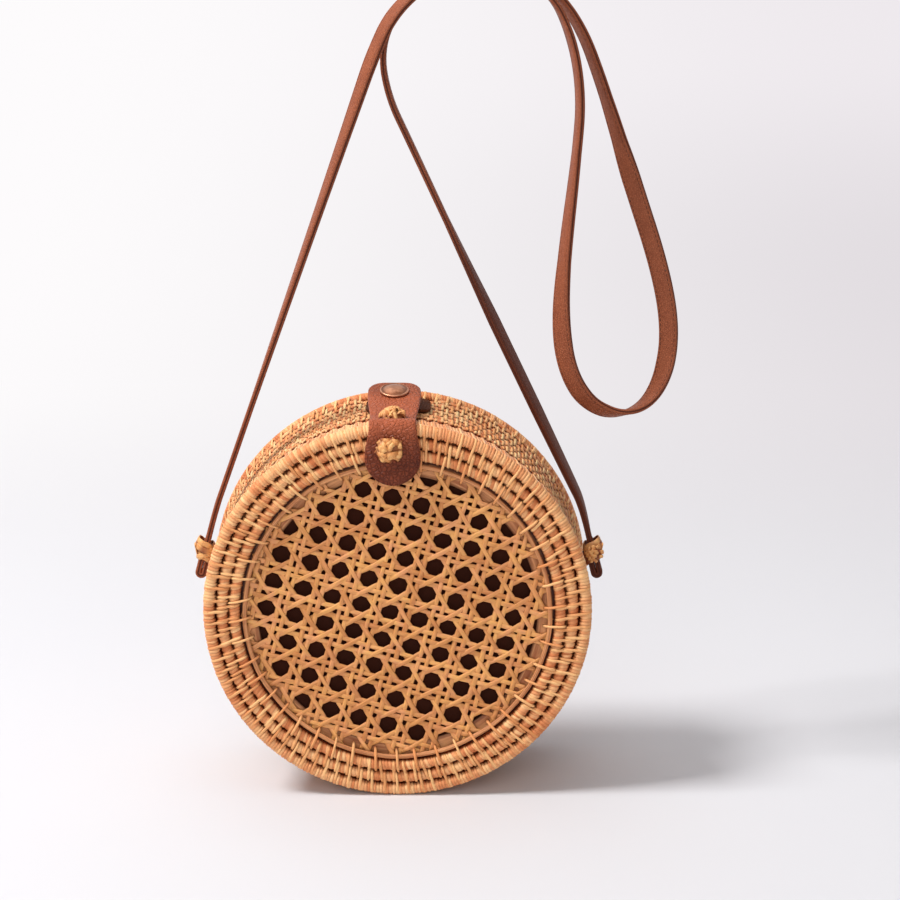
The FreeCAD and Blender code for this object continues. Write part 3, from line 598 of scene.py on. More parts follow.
def cloth_finish():
    """Brown lining cloth: a plain weave, over and under, with uneven yarns."""
    f = Finish("lining_cloth", {"Specular IOR Level": 0.2})
    sockets = {"Vector": f.spread(1.0, 1.0), "Scale": 170.0}
    warp, weft = [f.node("TexWave", {"bands_direction": way}, sockets) for way in "XY"]
    weave = warp * 0.5 + weft * 0.5
    slub = f.noise(f.spread(40.0, 600.0), 1.0)
    cloud = f.noise(f.place(), 30.0)
    share = (weave * 0.5 + slub * 0.4 + cloud * 0.3).between(0.2, 1.0)
    return f.dress(f.mix(share, tone(44, 15, 5), tone(84, 34, 13)), 0.78 + slub * 0.15, weave, 0.00018)


# Each finish with the name of its slot, which nothing here uses
FINISHES = {
    "coil": (coil_finish(), "coiled_rattan"),
    "stitch": (stitch_finish("stitch_cane", tone(222, 144, 88), tone(255, 203, 141), 0.28), "cane_lacing"),
    # A paler copy of the cane tones for the rear wall's stitches: painted light for the lamps on the wall's
    # top
    "wall": (stitch_finish("lit_wall_cane", tone(238, 158, 96), tone(255, 222, 162), 0.6), "cane_lacing"),
    "cane": (cane_finish(), "cane_webbing"),
    "hoop": (hoop_finish(), "plain_rattan"),
    "raffia": (raffia_finish(), "raffia"),
    "tab": (leather_finish("tab_leather", tone(86, 33, 15), tone(138, 64, 36), tone(156, 88, 72),
                           480.0, 0.0004, 0.36, 0.22, 0.9, 0.9), "tab_leather"),
    "strap": (leather_finish("strap_leather", tone(122, 62, 40), tone(170, 98, 66), tone(72, 31, 18),
                             950.0, 0.00006, 0.42, 0.16, 0.4, 0.0), "strap_leather"),
    "patch": (leather_finish("patch_leather", tone(76, 38, 20), tone(122, 72, 46), tone(88, 46, 26),
                             900.0, 0.0003, 0.6, 0.08, 0.9, 0.0), "patch_leather"),
    "thread": (thread_finish(), "strap_leather"),
    "brass": (brass_finish("antique_brass", tone(214, 156, 122), tone(132, 84, 60), 0.34), "antique_brass"),
    "snap": (brass_finish("snap_metal", tone(190, 160, 120), tone(110, 84, 60), 0.36), "snap_metal"),
    "cloth": (cloth_finish(), "lining_cloth"),
}


class Piece:
    """Grids of points gathered into one mesh, with its UV map and its tint and hollow at each point."""

    def __init__(self):
        self.count = 0
        self.points = []
        self.corners = []
        self.sizes = []
        self.smooth = []
        self.maps = []
        self.tints = []
        # The hollow mark darkens a finish: painted shade on plant strips, the painted cut edge on leather,
        # patina on brass
        self.hollows = []

    def add(self, points, spread=(0.0, 0.0), tint=0.5, hollow=0.0, ring=False):
        """Add a tube, or a stack of tubes: points has the shape (copies, rows, columns, 3).

        The columns go round the tube and close on themselves. With ring, the rows close too, and otherwise
        each end gets a cap. The spread has one more line than the points in each direction that closes.
        Faces are turned outwards by the sign of the volume that they enclose."""
        points = np.asarray(points, float)
        points = points.reshape((-1,) + points.shape[-3:])
        copies, rows, columns = points.shape[:3]
        row, column = np.meshgrid(np.arange(rows - (not ring)), np.arange(columns), indexing="ij")
        corner_row = np.stack([row, row + 1, row + 1, row], -1).reshape(-1, 4)
        corner_column = np.stack([column, column, column + 1, column + 1], -1).reshape(-1, 4)
        quad = points[0, corner_row % rows, corner_column % columns] - points[0].mean((0, 1))
        first = np.einsum("ij,ij->i", quad[:, 0], np.cross(quad[:, 1], quad[:, 2]))
        second = np.einsum("ij,ij->i", quad[:, 0], np.cross(quad[:, 2], quad[:, 3]))
        way = 1 if (first + second).sum() > 0 else -1
        corner_row = corner_row[:, ::way]
        corner_column = corner_column[:, ::way]
        start = self.count + np.arange(copies)[:, None, None] * rows * columns
        faces = start + (corner_row % rows) * columns + corner_column % columns
        spread = np.broadcast_to(spread, (copies, rows + ring, columns + 1, 2))
        self.keep(faces.reshape(-1, 4), spread[:, corner_row, corner_column].reshape(-1, 2), True)
        if not ring:
            near = start[:, :, 0] + np.arange(columns)[::way]
            for cap in (near, near[:, ::-1] + (rows - 1) * columns):
                self.keep(cap, np.zeros((cap.size, 2)), False)
        self.points.append(points.reshape(-1, 3))
        self.tints.append(np.broadcast_to(tint, (copies, rows, columns)).ravel())
        self.hollows.append(np.broadcast_to(hollow, (copies, rows, columns)).ravel())
        self.count += copies * rows * columns

    def keep(self, faces, spread, smooth):
        """Gather faces of one kind and the UV map of their corners."""
        self.corners.append(faces.ravel())
        self.sizes.append(np.full(len(faces), faces.shape[1]))
        self.smooth.append(np.full(len(faces), smooth))
        self.maps.append(spread)

    def make(self, name, finish, body, *nodes):
        """Turn what was gathered into a mesh object that rides on a body and stands for CAD nodes."""
        material, slot = FINISHES[finish]
        mesh = bpy.data.meshes.new(name)
        points = np.concatenate(self.points)
        corners = np.concatenate(self.corners).astype(np.int32)
        sizes = np.concatenate(self.sizes)
        mesh.vertices.add(len(points))
        mesh.loops.add(len(corners))
        mesh.polygons.add(len(sizes))
        mesh.vertices.foreach_set("co", points.ravel())
        mesh.polygons.foreach_set("loop_start", (np.cumsum(sizes) - sizes).astype(np.int32))
        mesh.polygons.foreach_set("vertices", corners)
        mesh.polygons.foreach_set("use_smooth", np.concatenate(self.smooth))
        mesh.update(calc_edges=True)
        mesh.uv_layers.new(name="spread").uv.foreach_set("vector", np.concatenate(self.maps).ravel())
        for label, values in (("tint", self.tints), ("hollow", self.hollows)):
            mesh.attributes.new(label, "FLOAT", "POINT").data.foreach_set("value", np.concatenate(values))
        mesh.materials.append(material)
        piece = link(name, mesh)
        if body:
            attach(piece, body)
        if nodes:
            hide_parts(*nodes)
        return piece


def link(name, data):
    """A new object in the scene."""
    holder = bpy.data.objects.new(name, data)
    bpy.context.collection.objects.link(holder)
    return holder


def points_of(*coordinates):
    """Points, from an array or a number for each coordinate."""
    return np.stack(np.broadcast_arrays(*coordinates), -1)


def around(radius, turn, y):
    """The point at a radius and a turn round the bag's axis, and at a Y."""
    return points_of(radius * np.cos(turn), y, CENTRE_Z + radius * np.sin(turn))


def circle(count):
    """Angles spread evenly over a full turn."""
    return np.linspace(0, FULL_TURN, count, endpoint=False)


def unit(vectors):
    """Vectors brought to the length 1."""
    return vectors / np.linalg.norm(vectors, axis=-1, keepdims=True)


def run_along(line):
    """The distance from a line's start to each of its points."""
    return np.append(0, np.cumsum(np.linalg.norm(np.diff(line, axis=0), axis=1)))


def read_line(line, at, places):
    """Points of a line at some distances, where places has the distance of each point that it has."""
    return points_of(*[np.interp(at, places, coordinate) for coordinate in line.T])


def grid_spread(along, section):
    """A UV grid from the values along a tube and round its section."""
    return points_of(np.asarray(along)[..., :, None], section)


def carry(path, side, up, section):
    """A section carried along a path: its first numbers go along side, its second numbers along up."""
    return path[..., None, :] + side[..., None, :] * section[..., 0:1] + up[..., None, :] * section[..., 1:2]


def soft_step(value):
    """0 up to 0, 1 from 1 on, and a soft step between them."""
    share = np.clip(value, 0, 1)
    return share * share * (3 - 2 * share)


def blunt(wave, power):
    """A sine or cosine filled out by a power of its size, so that an oval nears a box."""
    return np.sign(wave) * np.abs(wave) ** power


def wander(turn, rng, waves):
    """A slow wander round a ring: sine waves, each with its height, its count and a start of its own."""
    return sum(height * np.sin(turn * count + rng.uniform(0, 6)) for height, count in waves)


def climb(way, turn, depth):
    """How far the wall's rows climb towards the bead, but not where tab and patch lie."""
    away = np.abs((turn - np.pi / 2 + np.pi) % FULL_TURN - np.pi)
    start, most = CLIMBS[way]
    share = np.clip((depth - start) / (WALL_BACK - start), 0, 1) ** 1.3 * (depth < WALL_BACK)
    return most * share * soft_step((away - TAB_TURN) / TAB_TURN_EASE)


def gathers(turn, count, at):
    """0 at each stitch, 1 halfway between two of them."""
    return (0.5 - 0.5 * np.cos(count * turn - FULL_TURN * at)) ** 1.3


def wrap_grid(wraps, phase, ridge, rng):
    """Turns of the lines along the wraps of a coil, with their swell, arch and tint.

    Each wrap swells by an arch over its own width. Widths and swells differ a little from wrap to wrap."""
    edges = np.arange(wraps) + phase + rng.uniform(-0.10, 0.10, wraps)
    widths = np.diff(np.append(edges, edges[0] + wraps))
    arch = np.tile(WRAP_ARCH, wraps)[:, None]
    turn = (FULL_TURN * (edges[:, None] + WRAP_LINES * widths[:, None]) / wraps).ravel()[:, None]
    swell = ridge * arch * rng.uniform(0.7, 1.3, wraps).repeat(len(WRAP_LINES))[:, None]
    tint = rng.random(wraps).repeat(len(WRAP_LINES))[:, None]
    steps = np.append((np.arange(wraps)[:, None] + WRAP_LINES).ravel(), wraps)
    return turn, swell, arch, tint, steps


def coil(piece, way, lies, radius, depth, half_across, half_out, wraps, phase, ridge, bare, pinches, seed):
    """A wrapped coil bent to a ring: an oval section carried round the bag's axis.

    The oval is (half_across times cosine, half_out times sine) of the section's angle. On the wall the oval's
    across is depth and its out is radius; on a face it is the other way round. bare is the range of section
    angles, in degrees, that lies open; beyond it the coil darkens with painted shade, and the creases between
    its wraps get painted shade too. pinches are a count and a place in steps for the stitches beyond its low
    and its high side: between two stitches the side draws back by up to PINCH."""
    rng = np.random.default_rng(seed)
    turn, swell, arch, tint, steps = wrap_grid(wraps, phase, ridge, rng)
    angle = COIL_ANGLES
    drawn = [0 * turn if at is None else PINCH * gathers(turn, *at) for at in pinches]
    half = half_across - np.where(np.cos(angle) < 0, drawn[0], drawn[1])
    across = (half + WRAP_SIDE_SWELL * swell) * np.cos(angle)
    out = (half_out + swell) * np.sin(angle) + wander(turn, rng, COIL_WAVES) * (np.sin(angle) > 0)
    lean = WRAP_LEAN * np.cos(angle) / radius
    if lies == "wall":
        points = around(radius + climb(way, turn, depth) + out, turn + lean, way * (depth + across))
    else:
        points = around(radius + across, turn + lean, way * (depth + out))
    low, high = np.radians(bare)
    beyond = np.abs((angle - (low + high) / 2 + np.pi) % FULL_TURN - np.pi) - (high - low) / 2
    # Painted shade beyond the coil's open side and in the creases between its wraps
    hollow = np.clip(beyond / CREASE_SHADE_EASE + 0.5, 0, 1) + WRAP_CREASE_SHADE * (1 - arch)
    spread = grid_spread(steps, np.append(angle, angle[0] + FULL_TURN) / FULL_TURN)
    piece.add(points, spread, tint, hollow, True)


def bead_section(angle, sink):
    """Radius and depth at angles round the bead's section, a little below its size."""
    thick = BEAD_THICK - sink
    return points_of(BEAD_RING + thick * np.cos(angle), BEAD_DEPTH + thick * np.sin(angle))


def lid_roll(piece, seed):
    """The lid's edge: one wrapped surface from the face's first crease over the bead and back to the mouth.

    Its section is a round bead, then low rows that climb from the mouth to the bead, and a plain inside.
    At the mouth the surface draws in between the stitches, so that a row of small holes shows. Painted
    shade darkens the holes, the lip, the creases of the rows, the start of the roll and its plain inside."""
    rng = np.random.default_rng(seed)
    turn, swell, arch, tint, steps = wrap_grid(4 * STITCHES, 0.5, BEAD_RIDGE, rng)
    angle = LID_ANGLES
    share = (np.arange(LID_ROWS * LID_ROW_LINES) + 0.5) / LID_ROW_LINES
    crease = np.abs(2 * (share % 1) - 1)
    rows = points_of(WALL_RADIUS - WRAP_ROOM - LID_CREASE * crease ** 3,
                     LID_BACK - share * (LID_BACK - LID_MOUTH) / LID_ROWS)
    profile = np.concatenate([bead_section(angle, WRAP_ROOM), rows, LID_INSIDE])
    inside = np.zeros(len(LID_INSIDE))
    swells = np.concatenate([1 + 0 * angle, LID_SWELL + 0 * share, inside]) * swell
    normal = np.concatenate([points_of(np.cos(angle), np.sin(angle)), points_of(1 + 0 * share, 0),
                             points_of(1 + inside, 0)])
    on_bead = np.concatenate([1 + 0 * angle, 0 * share, inside])
    on_wall = np.concatenate([0 * angle, 1 + 0 * share, inside])
    depth = profile[:, 1]
    lip = soft_step((LIP_DEPTH - depth) / LIP_EASE)
    drawn = gathers(turn, STITCHES, 0.0)
    hole = on_wall * np.exp(-((depth - HOLE_DEPTH) / HOLE_REACH) ** 2) * drawn
    gap = PINCH * (on_bead * normal[:, 0] < -0.5) * drawn
    lift = on_wall * (climb(-1, turn, depth) - LIP_DROP * lip) - LIP_DROP * hole + gap
    lean = WRAP_LEAN * np.linspace(-1, 1, len(profile)) / WALL_RADIUS
    radius = profile[:, 0] + normal[:, 0] * swells + lift
    points = around(radius, turn + lean, -(depth + normal[:, 1] * swells))
    # Painted shade: at the roll's start, in the creases of its rows, on its plain inside, in the holes and on
    # the lip
    dark = np.concatenate([LID_SHADE_START, 0 * angle[3:], 0.5 * crease ** 6, LID_SHADE_INSIDE])
    hollow = dark + WRAP_CREASE_SHADE * (1 - arch) * (on_bead + on_wall) + 0.7 * hole + 0.35 * lip * on_wall
    run = run_along(profile)
    spread = grid_spread(steps, np.append(run, run[-1] + 0.002) / LID_STEP)
    # The lid's wraps are drawn paler than the other coils': painted light on the lit bead
    piece.add(points, spread, 0.35 + 0.65 * tint, hollow, True)


def strips(piece, way, turns, line, size, lean, seed, ends=None):
    """Split cane strips over the coils: a low crowned section carried along a line of radius and depth.

    Every strip has its own width, thickness, lean and small shift round the bag. The line's normal is its
    tangent turned a quarter in the plane of radius and depth, and the strip stands along it. ends gives the
    painted shade at each point of the line. Without it, the strip gets painted shade towards both ends, where
    it dives in."""
    rng = np.random.default_rng(seed)
    count = len(turns)
    line = np.asarray(line, float)
    tangent = unit(np.gradient(line, axis=0))
    wide = (size[0] * rng.uniform(*STRIP_WIDTHS, count))[:, None, None] * STRIP_SECTION[:, 0]
    high = (size[1] * rng.uniform(*STRIP_HEIGHTS, count))[:, None, None] * STRIP_SECTION[:, 1]
    share = np.linspace(-1, 1, len(line))[:, None]
    shift = rng.normal(0, STRIP_SHIFT, count)[:, None, None]
    skew = (lean + rng.normal(0, STRIP_SKEW, count))[:, None, None]
    lift = climb(way, turns[:, None], line[:, 1])[..., None]
    radius = line[:, None, 0] + lift + tangent[:, None, 1] * high
    depth = line[:, None, 1] - tangent[:, None, 0] * high
    turn = turns[:, None, None] + (wide + shift + skew * share) / line[:, None, 0]
    ends = np.abs(share) ** 4 * 0.9 if ends is None else np.asarray(ends)[:, None]
    # Painted shade on the strip's sides and underside, added to that along the line
    dark = ends + np.where(STRIP_SECTION[:, 1] < 0.3, 0.45, 0.0)
    spread = grid_spread(np.linspace(0, 6, len(line)), np.linspace(0, 1, len(STRIP_SECTION) + 1))
    spread = spread + rng.uniform(0, 50, (count, 1, 1, 1))
    piece.add(around(radius, turn, way * depth), spread, rng.random(count)[:, None, None], dark)


def even_turns(count, offset, seed):
    """Turns spread evenly round the bag, each moved a little."""
    rng = np.random.default_rng(seed)
    return FULL_TURN * (np.arange(count) + offset + rng.uniform(-0.08, 0.08, count)) / count


def bead_line(name):
    """Over the bead and the first face row: from the mouth on the lid, from the last row on the rear."""
    bead = bead_section(BEAD_STITCH_ANGLES, BEAD_STITCH_SINK[name])
    return np.concatenate([BEAD_STITCH_START[name], bead, BEAD_STITCH_END])


def wall_offset(row):
    """Where the stitches over a wall crease stand, in stitch steps: by turns, like bricks."""
    return 0.25 + 0.5 * (row % 2)


def wall_line(row):
    """Over the two rows at a crease of the rear wall, or the one row at the mouth: flat, with steep ends."""
    share = WALL_STITCH_SHARES if row else MOUTH_STITCH[0] + MOUTH_STITCH[1] * WALL_STITCH_SHARES
    depth = REAR_MOUTH + (row + share * WALL_STITCH_REACH) * REAR_PITCH
    return points_of(WALL_RADIUS - WRAP_ROOM - WALL_STITCH_SINK, depth)[::-1]


def shell(name, way):
    """One half of the bag: its edge and wall, face rows, stitches, laces, panel, hoops and lining."""
    body = name + "_half"
    seed = 100 if way < 0 else 200
    if name == "front":
        edge = Piece()
        lid_roll(edge, seed + 1)
        edge.make("lid_edge_roll", "coil", body, "front_bead", "front_wall")
    else:
        rear_wall(way, body, seed)
    rows = Piece()
    sides = ((0.0, ((STITCHES, 0.5), (STITCHES, 0.0))), (0.5, (None, (STITCHES, 0.5))))
    for step, (phase, pinches) in enumerate(sides):
        coil(rows, way, "face", ROW_RADII[step], ROW_DEPTH, ROW_HALF, ROW_OUT - WRAP_ROOM, 3 * STITCHES,
             phase, ROW_RIDGE, (25, 155), pinches, seed + 3 + step)
    # A ring behind the rows that shows through their gaps in painted shade
    backing = around(ROW_BACK[:, 0], circle(RING_POINTS)[:, None], way * ROW_BACK[:, 1])
    rows.add(backing, hollow=0.45, ring=True)
    rows.make(name + "_face_rows", "coil", body, name + "_face_coils")
    face = Piece()
    outer = even_turns(STITCHES, 0.0, seed + 20)
    inner = even_turns(STITCHES, 0.5, seed + 22)
    strips(face, way, outer, bead_line(name), STITCH_SIZE, BEAD_STITCH_LEAN, seed + 21)
    strips(face, way, inner, ROW_STITCH_LINE, STITCH_SIZE, ROW_STITCH_LEAN, seed + 23)
    face.make(name + "_face_stitches", "stitch", body)
    laces = Piece()
    strips(laces, way, even_turns(LACES, 0.37, seed + 50), LACE_LINE, LACE_SIZE, LACE_LEAN, seed + 51)
    laces.make(name + "_hoop_laces", "stitch", body, name + "_lacing")
    hoops(name, way, body, seed)
    webbing(name, way, body, seed)
    lining(name, way, body)


def rear_wall(way, body, seed):
    """The rear half's bead and its wall: rows of wrapped coil, sewn over with short strips like bricks."""
    bead = Piece()
    thick = BEAD_THICK - WRAP_ROOM
    coil(bead, way, "face", BEAD_RING, BEAD_DEPTH, thick, thick, 4 * STITCHES, 0.5, BEAD_RIDGE, (-110, 150),
         ((STITCHES, 0.0), None), seed + 1)
    bead.make("rear_bead_coil", "coil", body, "rear_bead")
    wall = Piece()
    sewn = Piece()
    middle = (WALL_RADIUS + WALL_INSIDE) / 2
    for row in range(REAR_ROWS):
        depth = REAR_MOUTH + (row + 0.5) * REAR_PITCH
        pinches = ((WALL_STITCHES, wall_offset(row)), (WALL_STITCHES, wall_offset(row + 1)))
        coil(wall, way, "wall", middle, depth, REAR_PITCH / 2, WALL_RADIUS - middle - REAR_WRAP_ROOM,
             2 * WALL_STITCHES, 0.0, ROW_RIDGE, (40, 140), pinches, seed + 10 + row)
        turns = even_turns(WALL_STITCHES, wall_offset(row), seed + 30 + row)
        strips(sewn, way, turns, wall_line(row), WALL_STITCH_SIZE, WALL_STITCH_LEAN, seed + 40 + row,
               WALL_STITCH_SHADE)
    wall.make("rear_wall_rows", "coil", body, "rear_wall")
    sewn.make("rear_wall_stitches", "wall", body)


def hoops(name, way, body, seed):
    """The clamping hoop, a broad split cane, and the flat hoop under the webbing, with painted shade towards
    its edges.

    Each is a blunt oval section carried round the bag's axis. The first wanders slowly in radius and depth,
    and the second ripples in thickness."""
    rng = np.random.default_rng(seed + 60)
    turn = circle(HOOP_POINTS)[:, None]
    angle = circle(HOOP_SIDES)
    spread = grid_spread(np.linspace(0, 60, HOOP_POINTS + 1), np.linspace(0, 1, HOOP_SIDES + 1))
    radius, depth, wide, high = HOOP
    across = wide * blunt(np.cos(angle), HOOP_BLUNT[0]) + wander(turn, rng, HOOP_WAVES)
    out = high * blunt(np.sin(angle), HOOP_BLUNT[1]) + wander(turn, rng, HOOP_LEVEL_WAVES)
    # Painted shade on the clamping hoop's sides and underside
    dark = np.clip((0.35 - np.sin(angle)) / 0.5, 0, 1)
    hoop = Piece()
    hoop.add(around(radius + across, turn, way * (depth + out)), spread, 0.6, dark, True)
    hoop.make(name + "_clamp_hoop", "hoop", body, name + "_hoop")
    radius, depth, wide, high = UNDER_HOOP
    ripple, count = UNDER_HOOP_RIPPLE
    across = wide * blunt(np.cos(angle), UNDER_HOOP_BLUNT)
    out = (high + ripple * np.sin(turn * count)) * np.sin(angle)
    # Painted shade towards the inner edge, and deep painted shade on the outer part, which lies under the
    # face row
    dark = 0.1 + 0.8 * np.clip(-np.cos(angle), 0, 1) ** 2 + 1.5 * (np.cos(angle) > 0.3)
    under = Piece()
    under.add(around(radius + across, turn, way * (depth + out)), spread, 0.4, dark, True)
    under.make(name + "_under_hoop", "hoop", body, name + "_inner_hoop")


def webbing(name, way, body, seed):
    """Six-way cane webbing: four sets of flat strips that pass over and under each other.

    Each strip is a crowned section carried along a chord of the panel. In lattice steps a and b, pairs stand
    at half steps plus and minus half the pair's spacing, and slants follow a + b or a - b at half steps. A
    slant rises and falls with the cosine of a, and a paired strip with u times exp((1 - u u) / 2), where u is
    its distance from the pairs' crossing in half spacings."""
    rng = np.random.default_rng(seed + 70)
    cosine = np.cos(LATTICE_TURN)
    sine = np.sin(LATTICE_TURN)
    lattice = np.array([(cosine, sine), (-sine, cosine)]) * LATTICE_PITCH[:, None]
    half = PAIR_HALF / LATTICE_PITCH
    steps = np.arange(-LATTICE_STEPS, LATTICE_STEPS + 1) + 0.5
    twice = np.tile(steps, 2)
    beside = np.repeat([-1.0, 1.0], len(steps))
    ones = np.ones(len(steps))
    # Where each set's strips start, which way they run, each strip's sign, and the axis of a pair's rise
    sets = (
        (points_of(twice + beside * half[0], 0), (0, 1), beside, 1),
        (points_of(0, twice + beside * half[1]), (1, 0), -beside, 0),
        (points_of(steps, 0), (1, -1), -ones, None),
        (points_of(steps, 0), (1, 1), ones, None),
    )
    panel = Piece()
    for starts, heading, sign, axis in sets:
        start = starts @ lattice + LATTICE_ORIGIN
        run = unit(heading @ lattice)
        foot = -start @ run
        gap = (start ** 2).sum(1) - foot ** 2
        inside = gap < (PANEL_REACH - PANEL_RIM) ** 2
        count = inside.sum()
        reach = np.sqrt(PANEL_REACH ** 2 - gap[inside]) - rng.uniform(0, CANE_TRIM, count)
        along = foot[inside, None] + reach[:, None] * np.linspace(-1, 1, CANE_POINTS)
        flat = start[inside, None] + along[..., None] * run
        at = (flat - LATTICE_ORIGIN) @ lattice.T / LATTICE_PITCH ** 2
        if axis is None:
            lift = SLANT_RISE * np.cos(FULL_TURN * at[..., 0])
        else:
            u = (at[..., axis] % 1 - 0.5) / half[axis]
            lift = PAIR_RISE * u * np.exp((1 - u ** 2) / 2)
        lift = sign[inside, None] * lift
        wobble = CANE_WOBBLE * np.sin(along * CANE_WOBBLE_PACE + rng.uniform(0, 6, (count, 1)))
        wobble = wobble + rng.normal(0, CANE_WOBBLE, (count, 1))
        cross = np.array([-run[1], run[0]])
        flat = flat + wobble[..., None] * cross
        path = points_of(flat[..., 0], way * (PANEL_DEPTH + lift), CENTRE_Z + flat[..., 1])
        wide = (CANE_WIDTH * rng.uniform(*CANE_WIDTHS, count))[:, None, None] * CANE_SECTION[:, 0]
        section = points_of(wide, CANE_THICK * (CANE_SECTION[:, 1] - CANE_SINK))
        points = carry(path, np.array([cross[0], 0, cross[1]]), np.array([0, way, 0]), section)
        spread = grid_spread(along / CANE_STEP, np.linspace(0, 1, len(CANE_SECTION) + 1))
        spread = spread + rng.uniform(0, 90, (count, 1, 1, 1))
        # Painted shade: on each strip's sides and underside, and where it dips under the others
        edge = np.interp(CANE_SECTION[:, 1], [0.0, 0.62, 0.94], [0.75, 0.25, 0.0])
        low = np.clip(-lift / SLANT_RISE, 0, 1)[..., None] * 0.35
        panel.add(points, spread, rng.random((count, 1, 1)), edge + low)
    panel.make(name + "_webbing", "cane", body, name + "_cane_panel")


def lining(name, way, body):
    """The cloth cup inside a half: a profile of radius and depth turned about the bag's axis.

    The sleeve puckers with a product of two sines of the turn, and the floor lies in low waves."""
    hem, flat_size, area = LININGS[name]
    reach = LINING_CORNER - hem
    outside = [(0.0006, 0.03315), (0.030, 0.03320), (0.060, 0.03325), (0.0850, 0.03325), (0.0895, 0.0325),
               (0.0913, LINING_CORNER), (0.0916, hem + reach * 0.7), (0.0917, hem + reach * 0.35),
               (0.0917, hem + 0.0017), (0.0916, hem)]
    inside = [(0.0911, hem - 0.0002), (0.0908, hem + 0.0009), (0.0910, hem + 0.0022),
              (0.0909, hem + reach * 0.35), (0.0908, hem + reach * 0.7), (0.0904, 0.0298), (0.0886, 0.0316),
              (0.0845, 0.0324), (0.060, 0.0325), (0.030, 0.0325), (0.0006, 0.0325)]
    profile = np.array(outside + inside)
    radius, depth = profile.T[..., None]
    turn = circle(RING_POINTS)
    sleeve = (radius > 0.08) & (depth > hem + 0.0027)
    floor = (depth > 0.0324) & (radius < 0.07)
    pucker = LINING_PUCKER * (np.sin(turn * 29) * np.sin(turn * 5 + 1) - 1)
    wave = LINING_WAVE * np.sin(radius * 260) * np.sin(turn * 3 + radius * 90)
    points = around(radius + sleeve * pucker, turn, way * (depth - floor * np.abs(wave)))
    cut = run_along(profile)[:, None] * 40
    closed = np.append(turn, 0)
    cup = Piece()
    cup.add(points, points_of(cut * np.cos(closed), cut * np.sin(closed)))
    piece = cup.make(name + "_lining_cup", "cloth", body, name + "_lining")


def leather_section(half, thick):
    """The outline of a leather piece across its width: two faces and round edges. half may differ by row."""
    half = np.asarray(half, float)[..., None]
    top = points_of((half - LEATHER_EDGE) * LEATHER_SHARES, thick / 2)
    edge = points_of(half - LEATHER_EDGE * np.abs(LEATHER_BOW) * 0.45, LEATHER_BOW * thick / 2)
    return np.concatenate([top, edge, -top, -edge], -2)


def tab_half_width(y, z):
    """Half the tab's width at a point of its middle line: a round lobe in front, a waist and a broad end."""
    drop = np.clip(z - TAB_LOW, 0, TAB_LOBE)
    lobe = np.sqrt(TAB_LOBE ** 2 - (TAB_LOBE - drop) ** 2)
    rise = soft_step((z - TAB_SHOULDER_RISE[0]) / TAB_SHOULDER_RISE[1])
    front = np.where(drop < TAB_LOBE, lobe, TAB_LOBE + (TAB_SHOULDER - TAB_LOBE) * rise)
    top = np.interp(y, *np.transpose(TAB_WIDTHS))
    left = np.clip(TAB_CORNER - (TAB_END_Y - y), 0, TAB_CORNER)
    end = TAB_END - TAB_CORNER + np.sqrt(TAB_CORNER ** 2 - left ** 2)
    return np.where(y < TAB_TOP_Y, front, np.minimum(top, np.where(left > 0, end, top)))


def tab():
    """The leather tab: a flat section carried along its middle line, from the front lobe to the snap.

    The middle line goes up the front, round the bead, down on the wall and up again to the snap. Its corners
    are eased by a running mean over 5 mm, and the ends keep their place. Points lie closer near both ends."""
    front = np.linspace(TAB_LOW, BEAD_RING, TAB_LINE_PARTS[0], endpoint=False)
    bend = np.radians(np.linspace(*TAB_BEND, TAB_LINE_PARTS[1]))
    wall_y = np.linspace(TAB_WALL[0][0], TAB_END_Y, TAB_LINE_PARTS[2])
    line = np.concatenate([
        points_of(-BEAD_DEPTH - TAB_BEND_RADIUS, front),
        points_of(TAB_BEND_RADIUS * np.cos(bend) - BEAD_DEPTH, BEAD_RING + TAB_BEND_RADIUS * np.sin(bend)),
        points_of(wall_y, np.interp(wall_y, *np.transpose(TAB_WALL))),
    ])
    run = run_along(line)
    line = read_line(line, np.linspace(0, run[-1], TAB_LINE_POINTS), run)
    reach = TAB_EASE_POINTS
    padded = np.concatenate([2 * line[:1] - line[reach:0:-1], line, 2 * line[-1:] - line[-2:-reach - 2:-1]])
    kernel = np.hanning(2 * reach + 3)[1:-1]
    line = points_of(*[np.convolve(column, kernel / kernel.sum(), "valid") for column in padded.T])
    share = np.linspace(0, 1, TAB_POINTS)
    pick = 0.55 * share + 0.45 * (0.5 - 0.5 * np.cos(np.pi * share))
    line = read_line(line, pick, np.linspace(0, 1, TAB_LINE_POINTS))
    half = np.maximum(tab_half_width(line[:, 0], line[:, 1]), TAB_LEAST)
    path = points_of(TAB_X, line[:, 0], CENTRE_Z + line[:, 1])
    side = np.array([1.0, 0.0, 0.0])
    up = np.cross(side, unit(np.gradient(path, axis=0)))
    piece = Piece()
    spread = grid_spread(90 * share, np.linspace(0, 1, len(LEATHER_DARK) + 1))
    piece.add(carry(path, side, up, leather_section(half, TAB_THICK)), spread, 0.0, LEATHER_DARK)
    tab_piece = piece.make("closure_tab_leather", "tab", None)
    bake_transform(tab_piece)
    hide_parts("tab_base", "tab_tail")


def patch():
    """The leather patch under the tab's end: a flat section bent round the wall, with rounded corners."""
    y = np.linspace(*PATCH_Y, PATCH_POINTS)
    left = np.clip(PATCH_CORNER - np.minimum(PATCH_Y[1] - y, y - PATCH_Y[0]), 0, PATCH_CORNER)
    half = PATCH_HALF - PATCH_CORNER + np.sqrt(PATCH_CORNER ** 2 - left ** 2)
    section = leather_section(half, PATCH_THICK)
    turn = np.pi / 2 - section[..., 0] / PATCH_RADIUS
    piece = Piece()
    piece.add(around(PATCH_RADIUS + section[..., 1], turn, y[:, None]), tint=0.0, hollow=LEATHER_DARK)
    piece.make("snap_patch_leather", "patch", "rear_half", "snap_patch")


